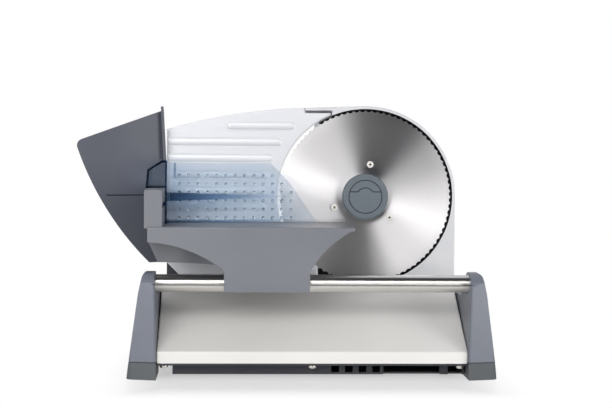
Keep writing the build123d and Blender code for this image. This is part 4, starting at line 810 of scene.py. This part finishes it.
# Pad-printed ink: matt, a little uneven, dark on the pale shell and white on the knob.
dark_ink = grained("dark_print_ink", (INK_GREY, INK_SHADE), grain_mm=0.8, depth_mm=0.01,
                   rough=(0.6, 0.75), cloud_mm=6.0, IOR=1.45)
white_ink = grained("white_print_ink", (POINTER_SHADE, POINTER_WHITE), grain_mm=0.8, depth_mm=0.01,
                    rough=(0.6, 0.75), cloud_mm=6.0, IOR=1.45)


def mark_bar(name, length):
    # One printed mark: a thin bar along +Z with rounded ends, its foot at the origin.
    half = MARK_WIDE / 2
    ends = [(half * math.cos(t), length - half + half * math.sin(t)) for t in END_STEPS]
    ends += [(-x, length - z) for x, z in ends]
    form = bmesh.new()
    face = form.faces.new([form.verts.new((x, 0.0, z)) for x, z in ends])
    raised = bmesh.ops.extrude_face_region(form, geom=[face])["geom"]
    for part in raised:
        if isinstance(part, bmesh.types.BMVert):
            part.co.y += MARK_THICK
    bmesh.ops.recalc_face_normals(form, faces=form.faces)
    return shaped(name, form)


dial_low, dial_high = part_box("dial_plate")
dial_middle = Vector(((dial_low.x + dial_high.x) / 2, shell_high.y, (dial_low.z + dial_high.z) / 2))
dial_tree, given = new_tree("Marks round the dial", "Scale", Start="Geometry", Mark="Object", Marks="Int",
                            Sweep="Float", Radius="Float", Finish="Material")
one_mark = put(dial_tree, "GeometryNodeObjectInfo", {"Object": given["Mark"], "As Instance": True})
number = put(dial_tree, "GeometryNodeInputIndex").outputs["Index"]
steps = maths(dial_tree, "SUBTRACT", given["Marks"], 1.0)
along = maths(dial_tree, "DIVIDE", number, steps)
from_top = maths(dial_tree, "SUBTRACT", along, 0.5)
angle = maths(dial_tree, "MULTIPLY", from_top, given["Sweep"])
heading = put(dial_tree, "ShaderNodeCombineXYZ", {
    "X": maths(dial_tree, "SINE", angle), "Z": maths(dial_tree, "COSINE", angle)})
outward = put(dial_tree, "ShaderNodeVectorMath", {
    0: heading.outputs["Vector"], "Scale": given["Radius"]}, operation="SCALE")
spot = vector_maths(dial_tree, "ADD", outward.outputs["Vector"], tuple(dial_middle))
spots = put(dial_tree, "GeometryNodePoints", {"Count": given["Marks"], "Position": spot})
about = put(dial_tree, "FunctionNodeAxisAngleToRotation", {"Axis": BACK, "Angle": angle})
order = maths(dial_tree, "MODULO", number, float(LONG_EVERY))
longer = maths(dial_tree, "LESS_THAN", order, 0.5)
stretch = ranged(dial_tree, longer, WHOLE_RUN, (1.0, LONG_SHARE))
size = put(dial_tree, "ShaderNodeCombineXYZ", {"X": 1.0, "Y": 1.0, "Z": stretch})
ring = put(dial_tree, "GeometryNodeInstanceOnPoints", {
    "Points": spots.outputs["Points"], "Instance": one_mark.outputs["Geometry"],
    "Rotation": about.outputs["Rotation"], "Scale": size.outputs["Vector"]})
solid = put(dial_tree, "GeometryNodeRealizeInstances", {"Geometry": ring.outputs["Instances"]})
end_tree(dial_tree, "Scale", solid.outputs["Geometry"], given["Finish"])
mark = mark_bar("dial_mark", MARK_LONG)
scale = placed("dial_marks", bpy.data.meshes.new("dial_marks"))
grown(scale, dial_tree, Mark=mark, Marks=MARKS, Sweep=MARK_SWEEP,
      Radius=(dial_high.x - dial_low.x) / 2 + MARK_GAP, Finish=dark_ink)
bpy.data.objects.remove(mark)
fitted(scale, dark_ink, "base", "base_paint")
pointer = mark_bar("dial_pointer", POINTER_LONG)
knob_low, knob_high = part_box("thickness_knob")
first_turn = Euler((0, -MARK_SWEEP / 2, 0)).to_matrix()
near_rim = Vector((0, 0, (knob_high.z - knob_low.z) / 2 - POINTER_LONG - MARK_GAP))
for vert in pointer.data.vertices:
    vert.co = first_turn @ (vert.co + near_rim) + Vector((dial_middle.x, knob_high.y, dial_middle.z))
fitted(pointer, white_ink, "dial", "knob_grey")
fitted(eased("dial_plate", CARRIER_EASE), dark_acetal, "base", "carrier_dark", "dial_plate")
fitted(eased("thickness_knob", KNOB_EASE), knob_plastic, "dial", "knob_grey", "thickness_knob")

# Carriage: the food tray with its skirt, rail arm and left wall, one moulding in mid grey plastic.
# It slides along the rail on two sleeves and folds forward on it.

CARRIAGE_EASE = 0.0007
CARRIAGE_GREY = "#73757b"
CARRIAGE_SHADE = "#6e7076"

# Moulded ABS: satin, with the tray's broad faces kept from looking flat by a faint cloud in the colour.
tray_plastic = grained("moulded_tray_abs", (CARRIAGE_SHADE, CARRIAGE_GREY), grain_mm=1.1, depth_mm=0.016,
                       rough=(0.34, 0.44), cloud_mm=70.0, IOR=1.53)
fitted(eased("carriage_body", CARRIAGE_EASE), tray_plastic, "carriage", "carriage_grey", "carriage_body")

# Hand guard: a thin curved wing of darker moulded plastic that keeps the hand from the blade.
# It is screwed to the carriage's left wall from behind and has a short crease across it.

GUARD_EASE = 0.0003
CREASE_RISE = 0.0694
CREASE_HALF = 0.0006
CREASE_START = 0.028
CREASE_END = 0.0735
GUARD_GREY = "#50525c"
GUARD_SHADE = "#4b4d57"

# Moulded ABS: darker than the tray and a little duller.
guard_plastic = grained("moulded_guard_abs", (GUARD_SHADE, GUARD_GREY), grain_mm=1.1, depth_mm=0.014,
                        rough=(0.42, 0.52), cloud_mm=70.0, IOR=1.53)
wing = fitted(eased("hand_guard", GUARD_EASE), guard_plastic, "carriage", "guard_grey", "hand_guard")
guard_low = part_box("hand_guard")[0]


def painted_shade_crease(face):
    off_line = abs(face.center.z - (guard_low.z + CREASE_RISE))
    return off_line < CREASE_HALF and guard_low.x + CREASE_START < face.center.x < guard_low.x + CREASE_END


# The crease gets a black line of painted shade.
second_finish(wing, black_shade_paint, painted_shade_crease)

# Food pusher: one clear moulding with a saddle over the carriage wall and rows of small points on its face.
# It is injection moulded with a blue tint, so thin walls look clear and walls seen end on look dark blue.

PUSHER_EASE = 0.00012
PUSHER_BLUE = "#90b6d2"
PUSHER_CLEAR = "#ffffff"
TINT_PER_METRE = 115.0
TIP_FLAT = 1e-5
POINT_RISE = 0.00205
POINT_REACH = 0.0019
POINT_WIDER = 1.4
WAVE_MM = 14.0
WAVE_DEEP = 0.0002
WAVE_STRENGTH = 0.6

# Clear styrene-acrylonitrile: glassy, its tint deepens with the length that the light goes through,
# and the slow waves of the moulded sheet bend what is seen behind it.
clear_plastic, tree, shader, place = new_finish(
    "clear_san", IOR=1.56, Roughness=0.02, Transmission_Weight=1.0, Base_Color=linear(PUSHER_CLEAR))
waves = noise(tree, place, 1000 / WAVE_MM, detail=2.0)
wired(tree, shader, Normal=relief(tree, waves, WAVE_DEEP, WAVE_STRENGTH))
tint = put(tree, "ShaderNodeVolumeAbsorption", {"Color": linear(PUSHER_BLUE), "Density": TINT_PER_METRE})
path = put(tree, "ShaderNodeLightPath").outputs
open_way = put(tree, "ShaderNodeBsdfTransparent")
mixed = put(tree, "ShaderNodeMixShader", {
    0: path["Is Shadow Ray"], 1: shader.outputs["BSDF"], 2: open_way.outputs["BSDF"]})
wired(tree, tree.nodes["Material Output"], Volume=tint.outputs["Volume"], Surface=mixed.outputs["Shader"])
pusher = eased("food_pusher", PUSHER_EASE)
# The points on its far face are drawn wider than the CAD cones, so that each bends the light as a lens does.
form = bmesh.new()
form.from_mesh(pusher.data)
tip_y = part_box("food_pusher")[1].y
tips = []
for face in form.faces:
    middle = face.calc_center_median()
    if tip_y - middle.y < TIP_FLAT and all((middle - tip).length > POINT_REACH for tip in tips):
        tips.append(middle)
for vert in form.verts:
    if tip_y - vert.co.y < POINT_RISE:
        nearest = min(tips, key=lambda tip: math.hypot(vert.co.x - tip.x, vert.co.z - tip.z))
        off = Vector((vert.co.x - nearest.x, 0.0, vert.co.z - nearest.z))
        if off.length < POINT_REACH:
            vert.co += off * (POINT_WIDER - 1)
form.to_mesh(pusher.data)
form.free()
fitted(pusher, clear_plastic, "pusher", "pusher_clear", "food_pusher")

# Switch and power inlet: a black rocker in its bezel on the right of the cover, and the socket at the back.
# All three are moulded; bezel and inlet are pressed into openings, and the rocker tips in its bezel.

SWITCH_EASE = 0.0003
SWITCH_BLACK = "#1b1c1f"
SWITCH_SHADE = "#232428"

# Moulded polyamide: black, with a soft gloss.
switch_plastic = grained("moulded_black_polyamide", (SWITCH_BLACK, SWITCH_SHADE), grain_mm=0.9,
                         depth_mm=0.015, rough=(0.34, 0.46), IOR=1.53)
for node, body in (("switch_bezel", "base"), ("switch_rocker", "rocker"), ("power_inlet", "base")):
    fitted(eased(node, SWITCH_EASE), switch_plastic, body, "switch_black", node)

# Studio: a white acrylic table top that runs out to white, two tall soft boxes and a low one.
# The left box leans over the table and the others reach below its edge; a black card in front of the slicer,
# out of view, draws the dark line along the chrome.

TABLE_HALF = 4.0
TABLE_FRONT = -0.36
TABLE_WHITE = "#f4f3f1"
TABLE_SHADE = 0.5
TABLE_BOUNCE = 0.55
SHEET_SQUARES = 8
SHADE_MIDDLE = (0.0255, -0.07, 0.0)
SHADE_HALF = (0.165, 0.13, 0.0)
SHADE_RUN = (-0.03, 0.04)
CARD_FRONT = -0.36
CARD_REAR = -0.268
CARD_HALF = 1.6
CARD_RISE = 0.001
CARD_BLACK = "#0a0a0a"
ROOM_GREY = "#c9cacd"
ROOM_COOL = "#eceef8"
FILL_RUN, FILL_LIGHT = (0.1, 0.9), (0.7, 0.65)
MIRROR_RUN, MIRROR_LIGHT = (-0.05, 0.2), (0.05, 1.0)
PURE_WHITE = "#ffffff"


def flat_sheet(name, low, high, height):
    # A level rectangle from one corner to the other, in a few squares.
    form = bmesh.new()
    bmesh.ops.create_grid(form, x_segments=SHEET_SQUARES, y_segments=SHEET_SQUARES, size=0.5)
    for vert in form.verts:
        vert.co = ((low[0] + high[0]) / 2 + vert.co.x * (high[0] - low[0]),
                   (low[1] + high[1]) / 2 + vert.co.y * (high[1] - low[1]), height)
    sheet = shaped(name, form)
    return sheet


table = flat_sheet("floor", (-TABLE_HALF, TABLE_FRONT), (TABLE_HALF, TABLE_HALF), 0.0)
# White acrylic: the white grows with the distance from the slicer's footprint, so the shadow stays
# and the edges vanish.
table_top, tree, shader, place = new_finish(
    "white_acrylic_floor", Roughness=0.3, IOR=1.45, Base_Color=linear(TABLE_WHITE))
folded = vector_maths(tree, "ABSOLUTE", vector_maths(tree, "SUBTRACT", place, SHADE_MIDDLE))
beyond = vector_maths(tree, "SUBTRACT", folded, SHADE_HALF)
outside = vector_maths(tree, "LENGTH", vector_maths(tree, "MAXIMUM", beyond, (0, 0, 0)), result="Value")
sides = put(tree, "ShaderNodeSeparateXYZ", {"Vector": beyond}).outputs
inside = maths(tree, "MINIMUM", maths(tree, "MAXIMUM", sides["X"], sides["Y"]), 0.0)
glow = ranged(tree, maths(tree, "ADD", outside, inside), SHADE_RUN, (TABLE_SHADE, 1.0),
              interpolation_type="SMOOTHSTEP")
path = put(tree, "ShaderNodeLightPath").outputs
seen = maths(tree, "MAXIMUM", path["Is Camera Ray"], path["Is Glossy Ray"])
seen = maths(tree, "MAXIMUM", seen, path["Is Transmission Ray"])
lit = maths(tree, "MULTIPLY", glow, maths(tree, "MAXIMUM", seen, TABLE_BOUNCE))
white = put(tree, "ShaderNodeEmission", {"Color": linear(PURE_WHITE), "Strength": 1.0})
mixed = put(tree, "ShaderNodeMixShader", {0: lit, 1: shader.outputs["BSDF"], 2: white.outputs["Emission"]})
wired(tree, tree.nodes["Material Output"], Surface=mixed.outputs["Shader"])
table.data.materials.append(table_top)

card = flat_sheet("black_card", (-CARD_HALF, CARD_FRONT), (CARD_HALF, CARD_REAR), CARD_RISE)
# Black card: matt paper, seen only as the dark line in what mirrors it.
card_paper, *_ = new_finish("black_card", Roughness=0.9, Base_Color=linear(CARD_BLACK))
card.data.materials.append(card_paper)
card.visible_camera = card.visible_diffuse = card.visible_shadow = card.visible_transmission = False

# The room: even grey light on every surface, while mirrors find it dark in front and pale behind.
world = bpy.data.worlds.new("studio_room")
bpy.context.scene.world = world
world.use_nodes = True
tree = world.node_tree
way = put(tree, "ShaderNodeTexCoord").outputs["Generated"]
sides = put(tree, "ShaderNodeSeparateXYZ", {"Vector": way}).outputs
fill = tree.nodes["Background"]
fill.inputs["Color"].default_value = linear(ROOM_GREY)
wired(tree, fill, Strength=ranged(tree, sides["Z"], FILL_RUN, FILL_LIGHT))
mirror = put(tree, "ShaderNodeBackground", {
    "Color": linear(ROOM_COOL), "Strength": ranged(tree, sides["Y"], MIRROR_RUN, MIRROR_LIGHT)})
backdrop = put(tree, "ShaderNodeBackground", {"Color": linear(PURE_WHITE), "Strength": 1.0})
path = put(tree, "ShaderNodeLightPath").outputs
seen = maths(tree, "MAXIMUM", path["Is Glossy Ray"], path["Is Transmission Ray"])
mixed = put(tree, "ShaderNodeMixShader", {
    0: seen, 1: fill.outputs["Background"], 2: mirror.outputs["Background"]})
mixed = put(tree, "ShaderNodeMixShader", {
    0: path["Is Camera Ray"], 1: mixed.outputs["Shader"], 2: backdrop.outputs["Background"]})
wired(tree, tree.nodes["World Output"], Surface=mixed.outputs["Shader"])

# The soft boxes: each one's place, width and height, power and lean in degrees.
for name, at, size, power, lean in (
    ("left_soft_box", (-0.45, -1.46, 0.76), (0.66, 1.2), 15.5, -38),
    ("left_low_box", (-0.95, -1.25, 0.02), (0.7, 0.5), 2.8, 0),
    ("right_soft_box", (1.15, -1.3, 0.30), (0.7, 1.3), 12.5, 0),
):
    lamp = bpy.data.lights.new(name, "AREA")
    lamp.shape = "RECTANGLE"
    lamp.size, lamp.size_y = size
    lamp.energy = power
    box = placed(name, lamp)
    box.location = at
    facing = Vector((-at[0], -at[1], 0.0)).to_track_quat("-Z", "Y").to_matrix()
    box.rotation_euler = (facing @ Euler((0, 0, math.radians(lean))).to_matrix()).to_euler()

# Camera: a long lens in front of the slicer, a little above the rail.
# It is panned, tipped and leaned as it was when the photograph was taken.

STAND_OFF = Vector((-0.06948, -1.46435, 0.23065))
SENSOR_MM = 36.0
LENS_MM = 89.97
FAR_END = 50.0
PAN, TIP, LEAN = math.radians(2.411), math.radians(-2.356), math.radians(0.408)

leg_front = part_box("right_leg")[0].y
camera = placed("camera", bpy.data.cameras.new("camera"))
camera.data.sensor_width = SENSOR_MM
camera.data.lens = LENS_MM
camera.data.clip_end = FAR_END
camera.location = Vector((rail_middle.x, leg_front, 0.0)) + STAND_OFF
look = Vector((math.sin(PAN) * math.cos(TIP), math.cos(PAN) * math.cos(TIP), math.sin(TIP)))
aim = look.to_track_quat("-Z", "Y").to_matrix() @ Euler((0, 0, LEAN)).to_matrix()
camera.rotation_euler = aim.to_euler()
bpy.context.scene.camera = camera
bpy.context.scene.view_settings.view_transform = "Standard"
